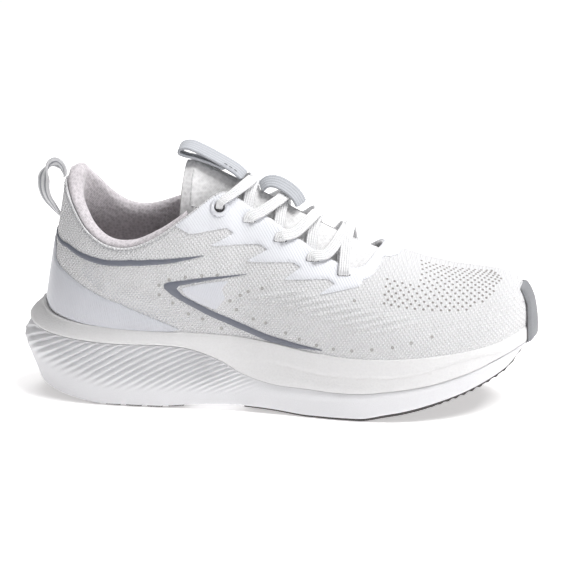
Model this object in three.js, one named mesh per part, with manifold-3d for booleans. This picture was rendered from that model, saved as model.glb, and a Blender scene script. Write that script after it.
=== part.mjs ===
// A right running shoe: knit upper, padded collar and tongue, flat lace, two-layer midsole, rubber outsole.
// Millimetres, +Z up, +X from heel to toe, -Y the lateral (outer) side. The sole rests on z = 0.
import * as THREE from 'three';
import { mergeVertices } from 'three/addons/utils/BufferGeometryUtils.js';
import Module from 'manifold-3d';

const wasm = await Module();
wasm.setup();

// ---- driving dimensions ----
const shoeLength = 290;
const shoeWidth = 100;
const upperHeight = 100; // from the rim at the ankle up to the top of the tongue
const heelStack = 36; // foam and rubber under the heel
const clearance = 0.35; // between touching pieces

const knitThickness = 1.6;
const filmThickness = 0.6;
const stripeThickness = 0.5;
const counterThickness = 1.4;
const puffThickness = 0.9;
const liningThickness = 1.2;
const collarPadding = 8.2; // collar roll, through its thickest place
const boardThickness = 1.5;
const sockThickness = 4.5;
const outsoleThickness = 3;
const grooveDepth = 1.4;
const bumperThickness = 1.8;
const rimBite = 6; // how far the upper sits down inside the midsole rim
const rimLip = 1.8; // foam left outside the upper at the rim
const tongueShellThickness = 1.1;
const tongueFoamThickness = 4.2;
const tongueLiningThickness = 1;
const laceWidth = 6.4;
const laceThickness = 1.7;
const topHoleLaceWidth = 4.2; // the lace is bunched where it goes through a ring
const aglet = { length: 20, radius: 1.7 };
const ring = { hole: 2.9, outside: 5.2, thickness: 1.5 };
const eyeletInsets = [10, 10.5, 10, 8, 6.5]; // from the throat edge to each lace hole, top row first
const loopWidth = 11;
const webbingThickness = 1.5;
const pullTabWidth = 17;
const keeperWidth = 10;

// ---- the last: ribs from the middle of the heel round the lateral side to the toe ----
// rim: x, lateral y, medial y, z. wall: bulge, rise. crown: x, lateral y, medial y, lateral z, medial z.
// roof: reach, drop. edge: lateral z, medial z of the collar and throat.
const draft = { length: 290.6, width: 101.8, height: 100, stack: 36 };
const ribs = [
  [8, 0, 0, 52, -7, 34, 22, 0, 0, 127, 127, 4, 24, 121, 121],
  [10.5, 11.5, 11.5, 49.8, -3.5, 34, 23.5, 8.5, 8.5, 124, 125, 3.5, 24, 117, 118.5],
  [18, 22, 21.5, 46.8, 1.5, 32, 29, 17, 16, 114, 120, 3, 22, 107, 113],
  [31, 29.5, 28.5, 44.7, 4, 29, 38, 25.5, 24, 104, 111, 2.5, 18, 96.5, 104.5],
  [47, 33, 31.5, 43.4, 5, 26, 50, 31, 28, 97.5, 106, 2.5, 16, 89.4, 99],
  [64, 34.3, 32, 42.5, 5, 26, 64, 32.5, 28.5, 97, 106, 2.5, 16, 88.6, 98.5],
  [80, 34.3, 31, 42.1, 5, 28, 79, 30.5, 27, 105, 112, 4, 18, 95, 103],
  [97, 34, 30, 42, 5.5, 30, 95, 24, 22, 117, 120, 8, 16, 106.5, 110.5],
  [114, 34.3, 29.5, 41.5, 6.5, 32, 113, 8, 6, 129, 130, 14, 9, 118.2, 118.8],
  [128, 35.2, 30, 40.8, 7, 33, 127, -2, 2, 123.5, 123.5, 17, 1, 111.6, 112],
  [146, 38.7, 32.5, 39, 7.5, 33, 145, -2.5, 2.5, 114.6, 114.6, 16, 0.5, 101.8, 102.4],
  [165, 43, 37.5, 36.3, 8, 32, 163, -3, 3, 105.6, 105.6, 15, 0, 90.5, 91.5],
  [181, 46, 42, 34.7, 8, 31, 178, -3.5, 3.5, 98.2, 98.2, 14.5, 0, 82.3, 83.8],
  [195, 47.4, 45, 34.3, 8.5, 29, 190, -4, 4, 92.6, 92.6, 18, 0, 80, 81.5],
  [207, 47.3, 46.5, 34.6, 8.5, 27, 201, -4, 4, 88.2, 88.2, 20, 0, 88.2, 88.2],
  [219, 46.2, 46.5, 35.1, 9, 25, 213, -4, 4, 83.9, 83.9, 21, 0, 83.9, 83.9],
  [233, 43, 45, 36.1, 9, 24, 226, -4.5, 4.5, 79.8, 79.8, 20, 0, 79.8, 79.8],
  [248, 37.2, 41.5, 37.6, 9, 23, 237, -5, 5, 77.4, 77.4, 20, 0, 77.4, 77.4],
  [261, 29.5, 36, 39.5, 9, 23, 247, -5, 5, 76.2, 76.2, 19, 0, 76.2, 76.2],
  [272, 20, 28.5, 42.3, 8, 23, 255, -5, 5, 75.5, 75.5, 18, 0, 75.5, 75.5],
  [280, 8.5, 18, 45, 6, 22, 260, -5, 5, 75.2, 75.2, 17.5, 0, 75.2, 75.2],
  [284, -5, 5, 46.8, 3, 20, 262, -5, 5, 75.1, 75.1, 18, 0, 75.1, 75.1],
];
// The sole under the same ribs: ground z, then reach beyond the rim at the ground edge, bulge z and reach,
// and z and reach of the line between the two foams.
const soleRibs = [
  [9.5, 5, 30, 12.3, 41.5, 8.5],
  [8, 5, 28, 11.5, 39.5, 7.5],
  [5.5, 6, 26, 10, 37.5, 6],
  [2.5, 7, 24, 9, 36, 5],
  [0, 7.5, 22, 8.5, 35, 4.5],
  [0, 7.5, 21, 8, 34.9, 4.2],
  [0, 7.5, 20, 8, 35.1, 4.2],
  [1.2, 7, 19, 7.5, 33.8, 4.5],
  [2.2, 6.5, 16, 7.2, 28.8, 5.5],
  [2.4, 6.5, 13.5, 7, 21.8, 6],
  [1.6, 5.5, 11, 6, 17, 5.2],
  [0, 4.8, 10, 5, 16, 4.4],
  [0, 4.8, 10, 4.8, 15.2, 4],
  [0, 4.5, 10.5, 4.6, 15.5, 3.8],
  [2.3, 4.2, 12.5, 4.4, 16.8, 3.6],
  [4.6, 3.8, 14.5, 4, 18.5, 3.5],
  [8.2, 3.2, 17.5, 3.6, 21, 3.3],
  [12.8, 2.4, 21.5, 3.2, 25, 3],
  [18, 1.6, 25.5, 2.8, 29.5, 2.6],
  [23.5, 0.6, 30.5, 2.2, 34, 2.2],
  [29.5, -1, 34.5, 1.6, 37, 1.8],
  [33, -2, 37.4, 1.2, 38.6, 1.4],
];
const toeRib = ribs.length - 1;
const ringCount = 2 * toeRib; // ribs of the whole ring, lateral side out and medial side back
const throatRib = 14; // where the throat ends and the two sides meet on the ridge
const cornerRib = 8; // the top corner of the throat

const along = shoeLength / draft.length;
const across = shoeWidth / draft.width;
const tall = upperHeight / draft.height;
const stack = heelStack / draft.stack;

const rimZ = (z) => z * stack;
const upperZ = (z, rim) => rim * stack + (z - rim) * tall;

function ringRow(index) {
  const i = ((index % ringCount) + ringCount) % ringCount;
  const lateral = i <= toeRib;
  const rib = ribs[lateral ? i : ringCount - i];
  const sole = soleRibs[lateral ? i : ringCount - i];
  const side = lateral ? -across : across;
  const [x, yLat, yMed, z, bulge, rise, cx, cyLat, cyMed, czLat, czMed, reach, drop, eLat, eMed] = rib;
  const [ground, groundOut, bulgeZ, bulgeOut, bandZ, bandOut] = sole;
  return [
    x * along, side * (lateral ? yLat : yMed), rimZ(z), bulge, rise * tall,
    cx * along, side * (lateral ? cyLat : cyMed), upperZ(lateral ? czLat : czMed, z), reach, drop * tall,
    upperZ(lateral ? eLat : eMed, z),
    ground, groundOut, bulgeZ * stack, bulgeOut, bandZ * stack, bandOut,
  ];
}

const ringRows = Array.from({ length: ringCount }, (_, i) => ringRow(i));

// Catmull-Rom through the ring rows, column by column.
function rowAt(k) {
  const base = Math.floor(k);
  const t = k - base;
  const [a, b, c, d] = [-1, 0, 1, 2].map((i) => ringRows[(base + i + 2 * ringCount) % ringCount]);
  return b.map((_, j) => 0.5 * (
    2 * b[j] + (c[j] - a[j]) * t + (2 * a[j] - 5 * b[j] + 4 * c[j] - d[j]) * t * t
    + (3 * b[j] - a[j] - 3 * c[j] + d[j]) * t * t * t));
}

function wrap(k) {
  return ((k % ringCount) + ringCount) % ringCount;
}

function onRidge(k) {
  const i = wrap(k);
  return i >= throatRib && i <= ringCount - throatRib;
}

// The plan direction that points out of the shoe at rib k.
function outward(k) {
  const step = 0.05;
  const a = rowAt(k - step);
  const b = rowAt(k + step);
  return new THREE.Vector3(b[1] - a[1], a[0] - b[0], 0).normalize();
}

function ribPoints(k) {
  const [x, y, z, bulge, rise, cx, cy, cz, reach, drop] = rowAt(k);
  const out = outward(k);
  const foot = new THREE.Vector3(x, y, z - rimBite);
  const crown = new THREE.Vector3(cx, cy, cz);
  const wall = foot.clone().addScaledVector(out, bulge);
  wall.z += rise;
  const roof = crown.clone().addScaledVector(out, reach);
  roof.z -= drop;
  return [foot, wall, roof, crown];
}

const ribCache = new Map();

function ribCurve(k) {
  const key = wrap(k).toFixed(5);
  if (!ribCache.has(key)) {
    ribCache.set(key, new THREE.CubicBezierCurve3(...ribPoints(k)));
  }
  return ribCache.get(key);
}

// Where the collar or throat edge cuts a rib, as a share of the whole rib.
const edgeCache = new Map();

function edgeShare(k) {
  if (onRidge(k)) return 1;
  const key = wrap(k).toFixed(5);
  if (!edgeCache.has(key)) {
    const target = rowAt(k)[10];
    let low = 0.3;
    let high = 1;
    for (let i = 0; i < 26; i += 1) {
      const middle = (low + high) / 2;
      if (ribCurve(k).getPoint(middle).z < target) low = middle;
      else high = middle;
    }
    edgeCache.set(key, (low + high) / 2);
  }
  return edgeCache.get(key);
}

// Square to the ridge line, in the plane of the shoe's length: both sides share it.
function ridgeNormal(k) {
  const away = Math.min(wrap(k), ringCount - wrap(k), toeRib - 0.5);
  const step = 0.1;
  const a = rowAt(away - step);
  const b = rowAt(away + step);
  return new THREE.Vector3(a[7] - b[7], 0, b[5] - a[5]).normalize();
}

// A point of the outer surface and its outward normal: w runs from the foot of the rib (0) to its edge (1).
function surfaceAt(k, w) {
  const share = edgeShare(k);
  const v = w * share;
  const point = ribCurve(k).getPoint(v);
  const near = Math.min(v, 0.97);
  const step = 0.02;
  const ahead = ribCurve(k + step).getPoint(near).sub(ribCurve(k - step).getPoint(near));
  const upward = ribCurve(k).getPoint(near + 0.01).sub(ribCurve(k).getPoint(near - 0.01));
  const normal = ahead.cross(upward).normalize();
  if (onRidge(k) && v > 0.9) normal.lerp(ridgeNormal(k), (v - 0.9) / 0.1).normalize();
  return { point, normal };
}

function skin(k, w, depth) {
  const { point, normal } = surfaceAt(k, w);
  return point.addScaledVector(normal, -depth);
}

function ribLength(k) {
  const share = edgeShare(k);
  let length = 0;
  let last = ribCurve(k).getPoint(0);
  for (let i = 1; i <= 12; i += 1) {
    const next = ribCurve(k).getPoint((share * i) / 12);
    length += next.distanceTo(last);
    last = next;
  }
  return length;
}

// A point at a height h below the edge (or above it, h < 0) and a depth inside the outer surface.
function wallPoint(k, h, depth) {
  const length = ribLength(k);
  if (h >= 0) return skin(k, 1 - h / length, depth);
  const tangent = skin(k, 1, 0).sub(skin(k, 0.94, 0)).normalize();
  return skin(k, 1, depth).addScaledVector(tangent, -h);
}

// ---- solids ----
function solidGeometry(points, faces) {
  let geometry = new THREE.BufferGeometry();
  geometry.setAttribute('position', new THREE.Float32BufferAttribute(points.flatMap((p) => p.toArray()), 3));
  geometry.setIndex(faces.flat());
  geometry = mergeVertices(geometry, 1e-3);
  const old = geometry.getIndex().array;
  const kept = [];
  for (let i = 0; i < old.length; i += 3) {
    const [a, b, c] = [old[i], old[i + 1], old[i + 2]];
    if (a !== b && b !== c && c !== a) kept.push(a, b, c);
  }
  geometry.setIndex(kept);
  if (signedVolume(geometry) < 0) {
    for (let i = 0; i < kept.length; i += 3) [kept[i], kept[i + 1]] = [kept[i + 1], kept[i]];
    geometry.setIndex(kept);
  }
  return geometry;
}

function signedVolume(geometry) {
  const position = geometry.getAttribute('position');
  const index = geometry.getIndex().array;
  const corner = [new THREE.Vector3(), new THREE.Vector3(), new THREE.Vector3()];
  let volume = 0;
  for (let i = 0; i < index.length; i += 3) {
    corner.forEach((c, j) => c.fromBufferAttribute(position, index[i + j]));
    volume += corner[0].dot(corner[1].clone().cross(corner[2])) / 6;
  }
  return volume;
}

// Joins closed rings of points, one after another, into a solid. Ends that are slits close by themselves.
function loft(rings, { closed = false, caps = false } = {}) {
  const size = rings[0].length;
  const points = rings.flat();
  const faces = [];
  const spans = closed ? rings.length : rings.length - 1;
  for (let i = 0; i < spans; i += 1) {
    const a = i * size;
    const b = ((i + 1) % rings.length) * size;
    for (let j = 0; j < size; j += 1) {
      const n = (j + 1) % size;
      faces.push([a + j, a + n, b + n], [a + j, b + n, b + j]);
    }
  }
  if (caps) {
    const last = (rings.length - 1) * size;
    for (let j = 1; j < size / 2; j += 1) {
      const far = size - 1 - j;
      const cap = [[j - 1, far + 1, j], [j, far + 1, far]];
      cap.forEach(([p, q, r]) => {
        if (p !== q && q !== r && p !== r) {
          faces.push([p, q, r], [last + p, last + r, last + q]);
        }
      });
    }
  }
  return solidGeometry(points, faces);
}

// A slab between two depths of the outer surface, over ribs ks and heights ws.
function slab(ks, ws, outer, inner) {
  const rings = ks.map((k) => {
    const outside = ws.map((w) => skin(k, w, outer(k, w)));
    const inside = ws.map((w) => skin(k, w, inner(k, w)));
    return [...inside, ...outside.reverse()];
  });
  return loft(rings, { caps: true });
}

function solidOf(geometry) {
  const bare = mergeVertices(new THREE.BufferGeometry()
    .setAttribute('position', geometry.getAttribute('position').clone())
    .setIndex(geometry.getIndex() ? geometry.getIndex().clone() : null), 1e-4);
  return new wasm.Manifold(new wasm.Mesh({
    numProp: 3,
    vertProperties: new Float32Array(bare.getAttribute('position').array),
    triVerts: new Uint32Array(bare.getIndex().array),
  }));
}

function geometryOf(solid) {
  const mesh = solid.getMesh();
  const geometry = new THREE.BufferGeometry();
  geometry.setAttribute('position', new THREE.Float32BufferAttribute(mesh.vertProperties, 3));
  geometry.setIndex(Array.from(mesh.triVerts));
  return geometry;
}

function range(from, to, step) {
  const count = Math.max(1, Math.round((to - from) / step));
  return Array.from({ length: count + 1 }, (_, i) => from + ((to - from) * i) / count);
}

// A side-view outline (x, z) as a prism through the lateral side (-1), the medial side (1) or both (0).
function prism(outline, side) {
  const shape = new THREE.Shape(outline.map(([x, z]) => new THREE.Vector2(x * along, z)));
  const depth = side === 0 ? 2 * shoeWidth : shoeWidth;
  const geometry = new THREE.ExtrudeGeometry(shape, { depth, bevelEnabled: false, steps: 1, curveSegments: 4 });
  geometry.rotateX(Math.PI / 2);
  if (side >= 0) geometry.translate(0, shoeWidth, 0);
  return solidOf(geometry);
}

// ---- materials ----
function finish(name, color, roughness) {
  return new THREE.MeshStandardMaterial({ name, color, roughness, metalness: 0 });
}

const paint = {
  knit: finish('white_knit', '#f2f2f2', 0.85),
  film: finish('bluish_film', '#e2e5ee', 0.5),
  heelFilm: finish('heel_film', '#dadde6', 0.5),
  stripe: finish('slate_stripe', '#80858f', 0.45),
  lining: finish('grey_lining', '#c3bbbd', 0.9),
  foam: finish('open_foam', '#e8e4d8', 0.95),
  board: finish('fibre_board', '#d8d2c4', 0.9),
  plastic: finish('moulded_plastic', '#d0d3d6', 0.5),
  midsole: finish('midsole_foam', '#ecebea', 0.6),
  rubber: finish('outsole_rubber', '#6f6a69', 0.8),
  bumper: finish('grey_bumper', '#a6abb0', 0.7),
  webbing: finish('grey_webbing', '#b1b5ba', 0.8),
  lace: finish('white_lace', '#f4f4f4', 0.85),
};

const shoe = new THREE.Group();

function add(name, geometry, material, parent = shoe) {
  geometry.computeVertexNormals();
  const mesh = new THREE.Mesh(geometry, material);
  mesh.name = name;
  parent.add(mesh);
  return mesh;
}

// ---- lace holes ----
const laceRows = [7.95, 9.15, 10.15, 11.15, 12.3]; // rib of each row of holes, top row first
const sides = [{ name: 'lateral', sign: -1 }, { name: 'medial', sign: 1 }];

function sideRib(rib, sign) {
  return sign < 0 ? rib : ringCount - rib;
}

// The middle of a lace hole with its three directions: along the edge, up the rib and out.
function holeFrame(row, sign) {
  const k = sideRib(laceRows[row], sign);
  const w = 1 - eyeletInsets[row] / ribLength(k);
  const { point, normal } = surfaceAt(k, w);
  const upRib = skin(k, w + 0.02, 0).sub(skin(k, w - 0.02, 0));
  upRib.addScaledVector(normal, -upRib.dot(normal)).normalize();
  const side = normal.clone().cross(upRib).normalize();
  return { k, w, point, normal, upRib, side };
}

const holeSlack = 1.7; // all round the lace

function holeCutter(row, sign) {
  const { point, normal, upRib, side } = holeFrame(row, sign);
  const top = row === 0;
  const depth = 14;
  const geometry = top
    ? new THREE.CylinderGeometry(ring.hole + 1, ring.hole + 1, depth, 14)
    : new THREE.BoxGeometry(laceWidth + 2 * holeSlack, depth, laceThickness + 2 * holeSlack);
  geometry.applyMatrix4(new THREE.Matrix4().makeBasis(side, normal, upRib.clone()).setPosition(point));
  return solidOf(geometry);
}

const holeCutters = sides.flatMap(({ sign }) => laceRows.map((_, row) => holeCutter(row, sign)));

function punch(solid) {
  return holeCutters.reduce((body, cutter) => body.subtract(cutter), solid);
}

// ---- upper ----
const ringStep = 0.7; // every layer takes its ribs at this step, so their facets run parallel
const knitWs = [0, 0.16, 0.32, 0.48, 0.64, 0.8, 1];

function buildKnit() {
  const ks = range(0, ringCount, ringStep).slice(0, -1);
  const rows = knitWs.length;
  const points = [];
  const faces = [];
  ks.forEach((k) => {
    knitWs.forEach((w) => points.push(skin(k, w, 0)));
    knitWs.forEach((w) => points.push(skin(k, w, knitThickness)));
  });
  const width = 2 * rows;
  ks.forEach((k, i) => {
    const a = i * width;
    const b = ((i + 1) % ks.length) * width;
    for (let j = 0; j < rows - 1; j += 1) {
      faces.push([a + j, b + j, b + j + 1], [a + j, b + j + 1, a + j + 1]);
      const p = a + rows + j;
      const q = b + rows + j;
      faces.push([p, q + 1, q], [p, p + 1, q + 1]);
    }
    faces.push([a, a + rows, b + rows], [a, b + rows, b]);
    if (!(onRidge(k) && onRidge(k + ringStep))) {
      const [p, q] = [a + rows - 1, b + rows - 1];
      faces.push([p, q, q + rows], [p, q + rows, p + rows]);
    }
  });
  return geometryOf(punch(solidOf(solidGeometry(points, faces))));
}

add('upper_knit', buildKnit(), paint.knit);

const counterRib = 4.2;
const counterTop = (k) => 0.5 - 0.16 * Math.min(1, Math.abs(k) / counterRib);

function buildCounter() {
  const depth = knitThickness + clearance;
  const rings = range(-counterRib, counterRib, ringStep).map((k) => {
    const ws = [0.1, 0.35, 0.6, 0.8, 1].map((share) => 0.08 + (counterTop(k) - 0.08) * share);
    const outside = ws.map((w) => skin(k, w, depth));
    const inside = ws.map((w) => skin(k, w, depth + counterThickness));
    return [...outside, ...inside.reverse()];
  });
  return loft(rings, { caps: true });
}

add('heel_counter', buildCounter(), paint.plastic);

const puffRib = 2.8;

function buildPuff() {
  const depth = knitThickness + clearance;
  const rings = range(toeRib - puffRib, toeRib + puffRib, ringStep).map((k) => {
    const ws = knitWs.slice(1, 5);
    const outside = ws.map((w) => skin(k, w, depth));
    const inside = ws.map((w) => skin(k, w, depth + puffThickness));
    return [...outside, ...inside.reverse()];
  });
  return loft(rings, { caps: true });
}

add('toe_puff', buildPuff(), paint.plastic);

// ---- collar: a foam roll inside a lining that hooks over it and runs down to the footbed ----
const collarRib = 7;
const innerDepth = knitThickness + counterThickness + 2 * clearance;

// Fullness of the roll: whole round the ankle, thin where the collar runs into the throat.
function fullness(k) {
  const away = Math.abs(k > toeRib ? k - ringCount : k);
  return 1 - 0.62 * THREE.MathUtils.smoothstep(away, 4.8, collarRib);
}

function rollLift(k) {
  const away = Math.abs(k > toeRib ? k - ringCount : k);
  return 0.6 + 3.4 * (1 - THREE.MathUtils.smoothstep(away, 0, 2)) + 1.4 * THREE.MathUtils.smoothstep(away, 5, 6.5);
}

// The outside of the lining's hook, then its inside, as height below the edge and depth.
function hookPath(k, inset) {
  const f = fullness(k);
  const lift = rollLift(k);
  const length = ribLength(k);
  const start = knitThickness + 2 * clearance;
  const padding = collarPadding * f;
  const top = lift + 0.5 * padding;
  const middle = start + 0.45 * padding;
  return [
    [4.5, start + inset],
    [0.8, start + inset],
    [-Math.max(0.5 * lift, 0.9), start - 0.7 + inset],
    [-lift - 0.25 * padding, start - 0.2 + inset],
    [-top + 0.6 + inset, middle - 0.25 * padding],
    [-top + inset, middle],
    [-top + 0.8 + inset, middle + 0.3 * padding],
    [-lift + 0.4, start + padding - inset],
    [0.1 * length, start + padding + 0.2 - inset],
    [0.24 * length, start + 0.8 * padding + 0.6 - inset],
    [0.4 * length, Math.max(innerDepth, start + 0.3 * padding) + liningThickness + 0.2 - inset],
    [0.6 * length, innerDepth + liningThickness - inset],
    [length - 4.2, innerDepth + liningThickness - inset],
  ];
}

function buildLining() {
  const rings = range(-collarRib, collarRib, ringStep).map((k) => {
    const outside = hookPath(k, 0).map(([h, d]) => wallPoint(k, h, d));
    const inside = hookPath(k, liningThickness).map(([h, d]) => wallPoint(k, h, d));
    return [...outside, ...inside.reverse()];
  });
  return loft(rings, { caps: true });
}

add('collar_lining', buildLining(), paint.lining);

function buildCollarFoam() {
  const gap = liningThickness + clearance + 0.04 * collarPadding;
  const rings = range(ringStep - collarRib, collarRib - ringStep, ringStep).map((k) => {
    const path = hookPath(k, gap).slice(1, 10);
    const length = ribLength(k);
    const inside = knitThickness + clearance;
    const back = [[0.36 * length, inside], [0.22 * length, inside], [6, inside], [5.2, inside + gap]];
    return [...path, ...back].map(([h, d]) => wallPoint(k, h, d));
  });
  return loft(rings, { caps: true });
}

add('collar_foam', buildCollarFoam(), paint.foam);

// ---- film overlays: a slab just proud of the knit, trimmed to its outline ----
const filmInner = -clearance;
const filmOuter = -clearance - filmThickness;

function film(kFrom, kTo, ws, outline, side, inner = filmInner, outer = filmOuter) {
  const ks = side < 0 ? range(kFrom, kTo, ringStep) : range(ringCount - kTo, ringCount - kFrom, ringStep);
  const sheet = solidOf(slab(ks, ws, () => outer, () => inner));
  return sheet.intersect(prism(outline, side));
}

const eyestayOutline = [
  [88, 104], [97, 98.5], [112.5, 103.5], [117, 101], [104.5, 93], [131, 94.5], [135, 92], [124, 84.5],
  [150, 85.5], [154, 83.5], [145.5, 76], [170, 77.5], [173.5, 75], [166, 68], [189, 72.5],
  [196, 79.5], [200, 92], [183, 100], [150, 116], [116, 135], [100, 122],
];

sides.forEach(({ name, sign }) => {
  const sheet = film(5.6, 13.3, knitWs.slice(2), eyestayOutline, sign);
  add(`eyestay_overlay_${name}`, geometryOf(punch(sheet)), paint.film);
});

function buildThroatOverlay() {
  const ws = [0.64, 0.8, 1];
  const rings = range(throatRib, throatRib + 2 * ringStep, ringStep).map((k) => {
    const over = (depth) => [
      ...ws.map((w) => skin(k, w, depth)), ...ws.slice(0, -1).reverse().map((w) => skin(ringCount - k, w, depth)),
    ];
    return [...over(filmInner), ...over(filmOuter).reverse()];
  });
  const bounds = [[190, 60], [201, 70], [212, 83], [212, 98], [196, 104], [190.5, 92]];
  return geometryOf(solidOf(loft(rings, { caps: true })).intersect(prism(bounds, 0)));
}

add('throat_overlay', buildThroatOverlay(), paint.film);

const heelFilmOutline = [
  [-5, 38], [13, 84], [18, 78], [28, 70.5], [42, 63.5], [58, 57.5], [75, 50.5], [91, 44.8], [91, 38],
];

function buildHeelOverlay() {
  const ks = range(-7.7, 7.7, ringStep);
  const ws = [0.16, 0.32, 0.48, 0.64];
  const sheet = solidOf(slab(ks, ws, () => filmOuter, () => filmInner));
  return geometryOf(sheet.intersect(prism(heelFilmOutline, 0)));
}

add('heel_overlay', buildHeelOverlay(), paint.heelFilm);

// ---- stripes ----
const stripeInner = -clearance;
const stripeOuter = -clearance - stripeThickness;
const chevronOutline = [
  [79, 69.5], [81, 71.2], [126.5, 77.5], [85.5, 68.6], [90, 64], [109, 55.5], [125, 49.5], [140, 43.5],
  [157, 40.8], [172, 38.3], [157, 38.6], [141, 40.6], [125, 46], [108, 52.4], [89, 61], [84, 65],
];
const collarStripeOutline = [
  [10, 92.5], [18.5, 92], [26, 86], [36, 81.3], [45, 79.8], [64, 80], [80, 81.5], [103, 84.5],
  [80, 78.6], [64, 77], [44, 76.8], [34, 78.6], [24, 83], [17, 88.6], [13.5, 86], [10, 86],
];

sides.forEach(({ name, sign }) => {
  const chevron = film(4.9, 12.6, knitWs.slice(0, 6), chevronOutline, sign, stripeInner, stripeOuter);
  add(`side_stripe_${name}`, geometryOf(chevron), paint.stripe);
});

function buildCollarStripe() {
  const ks = range(-8.4, 8.4, ringStep);
  const ws = [0.48, 0.64, 0.8, 1];
  const sheet = solidOf(slab(ks, ws, () => stripeOuter, () => stripeInner));
  return geometryOf(sheet.intersect(prism(collarStripeOutline, 0)));
}

add('collar_stripe', buildCollarStripe(), paint.stripe);

// ---- rings at the top lace holes ----
const ringSeat = 2 * clearance + filmThickness + 0.2;
const ringTop = ringSeat + ring.thickness;

sides.forEach(({ name, sign }) => {
  const { point, normal, upRib, side } = holeFrame(0, sign);
  const low = 0;
  const high = ring.thickness;
  const profile = [
    [ring.hole, low], [ring.outside, low], [ring.outside, 0.55 * high], [ring.outside - 0.7, high],
    [ring.hole + 0.6, high], [ring.hole, 0.5 * high], [ring.hole, low],
  ].map(([r, h]) => new THREE.Vector2(r, h));
  const geometry = new THREE.LatheGeometry(profile, 20);
  const seat = point.clone().addScaledVector(normal, ringSeat);
  geometry.applyMatrix4(new THREE.Matrix4().makeBasis(side, normal, upRib).setPosition(seat));
  add(`eyelet_ring_${name}`, geometryOf(solidOf(geometry)), paint.film);
});

// ---- sole ----
const half = (j) => [j, ringCount - j];
const soleSteps = range(0, toeRib, ringStep);

// Points of a sole wall: reach beyond the rim, at a height.
function wallOf(k, reach, z) {
  const [x, y] = rowAt(k);
  const point = new THREE.Vector3(x, y, 0).addScaledVector(outward(k), reach);
  point.z = z;
  return point;
}

function between(a, b, count) {
  return range(0, 1, 1 / count).slice(1, -1).map((t) => a.clone().lerp(b, t));
}

// A sole layer: walls are lists of points from low to high on each side, joined across the top and bottom.
function layer(js, wall, acrossCount = 2) {
  return loft(js.map((j) => {
    const [lateral, medial] = half(j).map((k) => wall(k));
    const top = between(lateral.at(-1), medial.at(-1), acrossCount);
    const bottom = between(medial[0], lateral[0], acrossCount);
    return [...lateral, ...top, ...medial.reverse(), ...bottom];
  }));
}

const groundZ = (k) => Math.max(0, rowAt(k)[11]);

function baseWall(k) {
  const row = rowAt(k);
  const low = groundZ(k) + outsoleThickness;
  return [
    wallOf(k, row[12] - 2, low), wallOf(k, row[12], low + 1.5), wallOf(k, row[14], Math.max(low + 2.2, row[13])),
    wallOf(k, (row[14] + row[16]) / 2 + 0.4, (Math.max(low + 2.2, row[13]) + row[15]) / 2),
    wallOf(k, row[16], row[15] - clearance),
  ];
}

add('midsole_base', layer(soleSteps, baseWall), paint.midsole);

// The room that the upper and its board take out of the midsole.
function footRoom() {
  return solidOf(layer(soleSteps, (k) => {
    const foot = skin(k, 0, -clearance);
    foot.z -= clearance + 0.2;
    return [foot, skin(k, 0.16, -clearance), skin(k, 0.32, -clearance)];
  }));
}

function carrierWall(k) {
  const row = rowAt(k);
  const lip = wallOf(k, rimLip, row[2]);
  return [
    wallOf(k, row[16], row[15]), wallOf(k, row[16] * 0.62 + rimLip * 0.38 + 0.3, row[15] * 0.5 + row[2] * 0.5), lip,
  ];
}

add('midsole_carrier', geometryOf(solidOf(layer(soleSteps, carrierWall)).subtract(footRoom())), paint.midsole);

// Rubber: slabs under the foam, grooved across the tread.
function groove(x, width, yFrom, yTo, z, slope = 0) {
  const geometry = new THREE.BoxGeometry(width, yTo - yFrom, 2 * grooveDepth);
  geometry.rotateY(-slope);
  geometry.translate(x * along, (yFrom + yTo) / 2, z);
  return solidOf(geometry);
}

function rubberWall(from, to) {
  return (j) => {
    const [lateral, medial] = half(j).map((k) => wallOf(k, rowAt(k)[12] - 0.6, groundZ(k)));
    const a = lateral.clone().lerp(medial, from);
    const b = lateral.clone().lerp(medial, to);
    const high = outsoleThickness - clearance;
    const middle = between(a, b, 2);
    const lift = (p) => p.clone().setZ(p.z + high);
    return [a, ...middle, b, lift(b), ...middle.map(lift).reverse(), lift(a)];
  };
}

const treadStep = 12;

function tread(solid, xs) {
  return xs.reduce((body, x) => {
    const j = ribAtX(x);
    const slope = Math.atan2(groundZ(j + 0.5) - groundZ(j - 0.5), rowAt(j + 0.5)[0] - rowAt(j - 0.5)[0]);
    return body.subtract(groove(x, 2.4, -shoeWidth, shoeWidth, groundZ(j), slope));
  }, solid);
}

function ribAtX(x) {
  let low = 0;
  let high = toeRib;
  for (let i = 0; i < 20; i += 1) {
    const middle = (low + high) / 2;
    if (rowAt(middle)[0] < x * along) low = middle;
    else high = middle;
  }
  return (low + high) / 2;
}

const heelSplit = 0.06; // half the groove between the two heel pads, as a share of the width
const heelPads = [
  { name: 'outsole_heel_lateral', from: 0, to: 0.5 - heelSplit },
  { name: 'outsole_heel_medial', from: 0.5 + heelSplit, to: 1 },
];
heelPads.forEach(({ name, from, to }) => {
  const pad = solidOf(loft(range(0.7, 7, ringStep).map(rubberWall(from, to)), { caps: true }));
  add(name, geometryOf(tread(pad, range(30, 90, treadStep))), paint.rubber);
});
const forefootPad = solidOf(loft(range(9.1, 20.3, ringStep).map(rubberWall(0, 1)), { caps: true }));
add('outsole_forefoot', geometryOf(tread(forefootPad, range(142, 268, treadStep))), paint.rubber);

// The bumper wraps the tip of the toe, over the foam and up the knit.
const bumperRib = 1.05;

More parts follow.
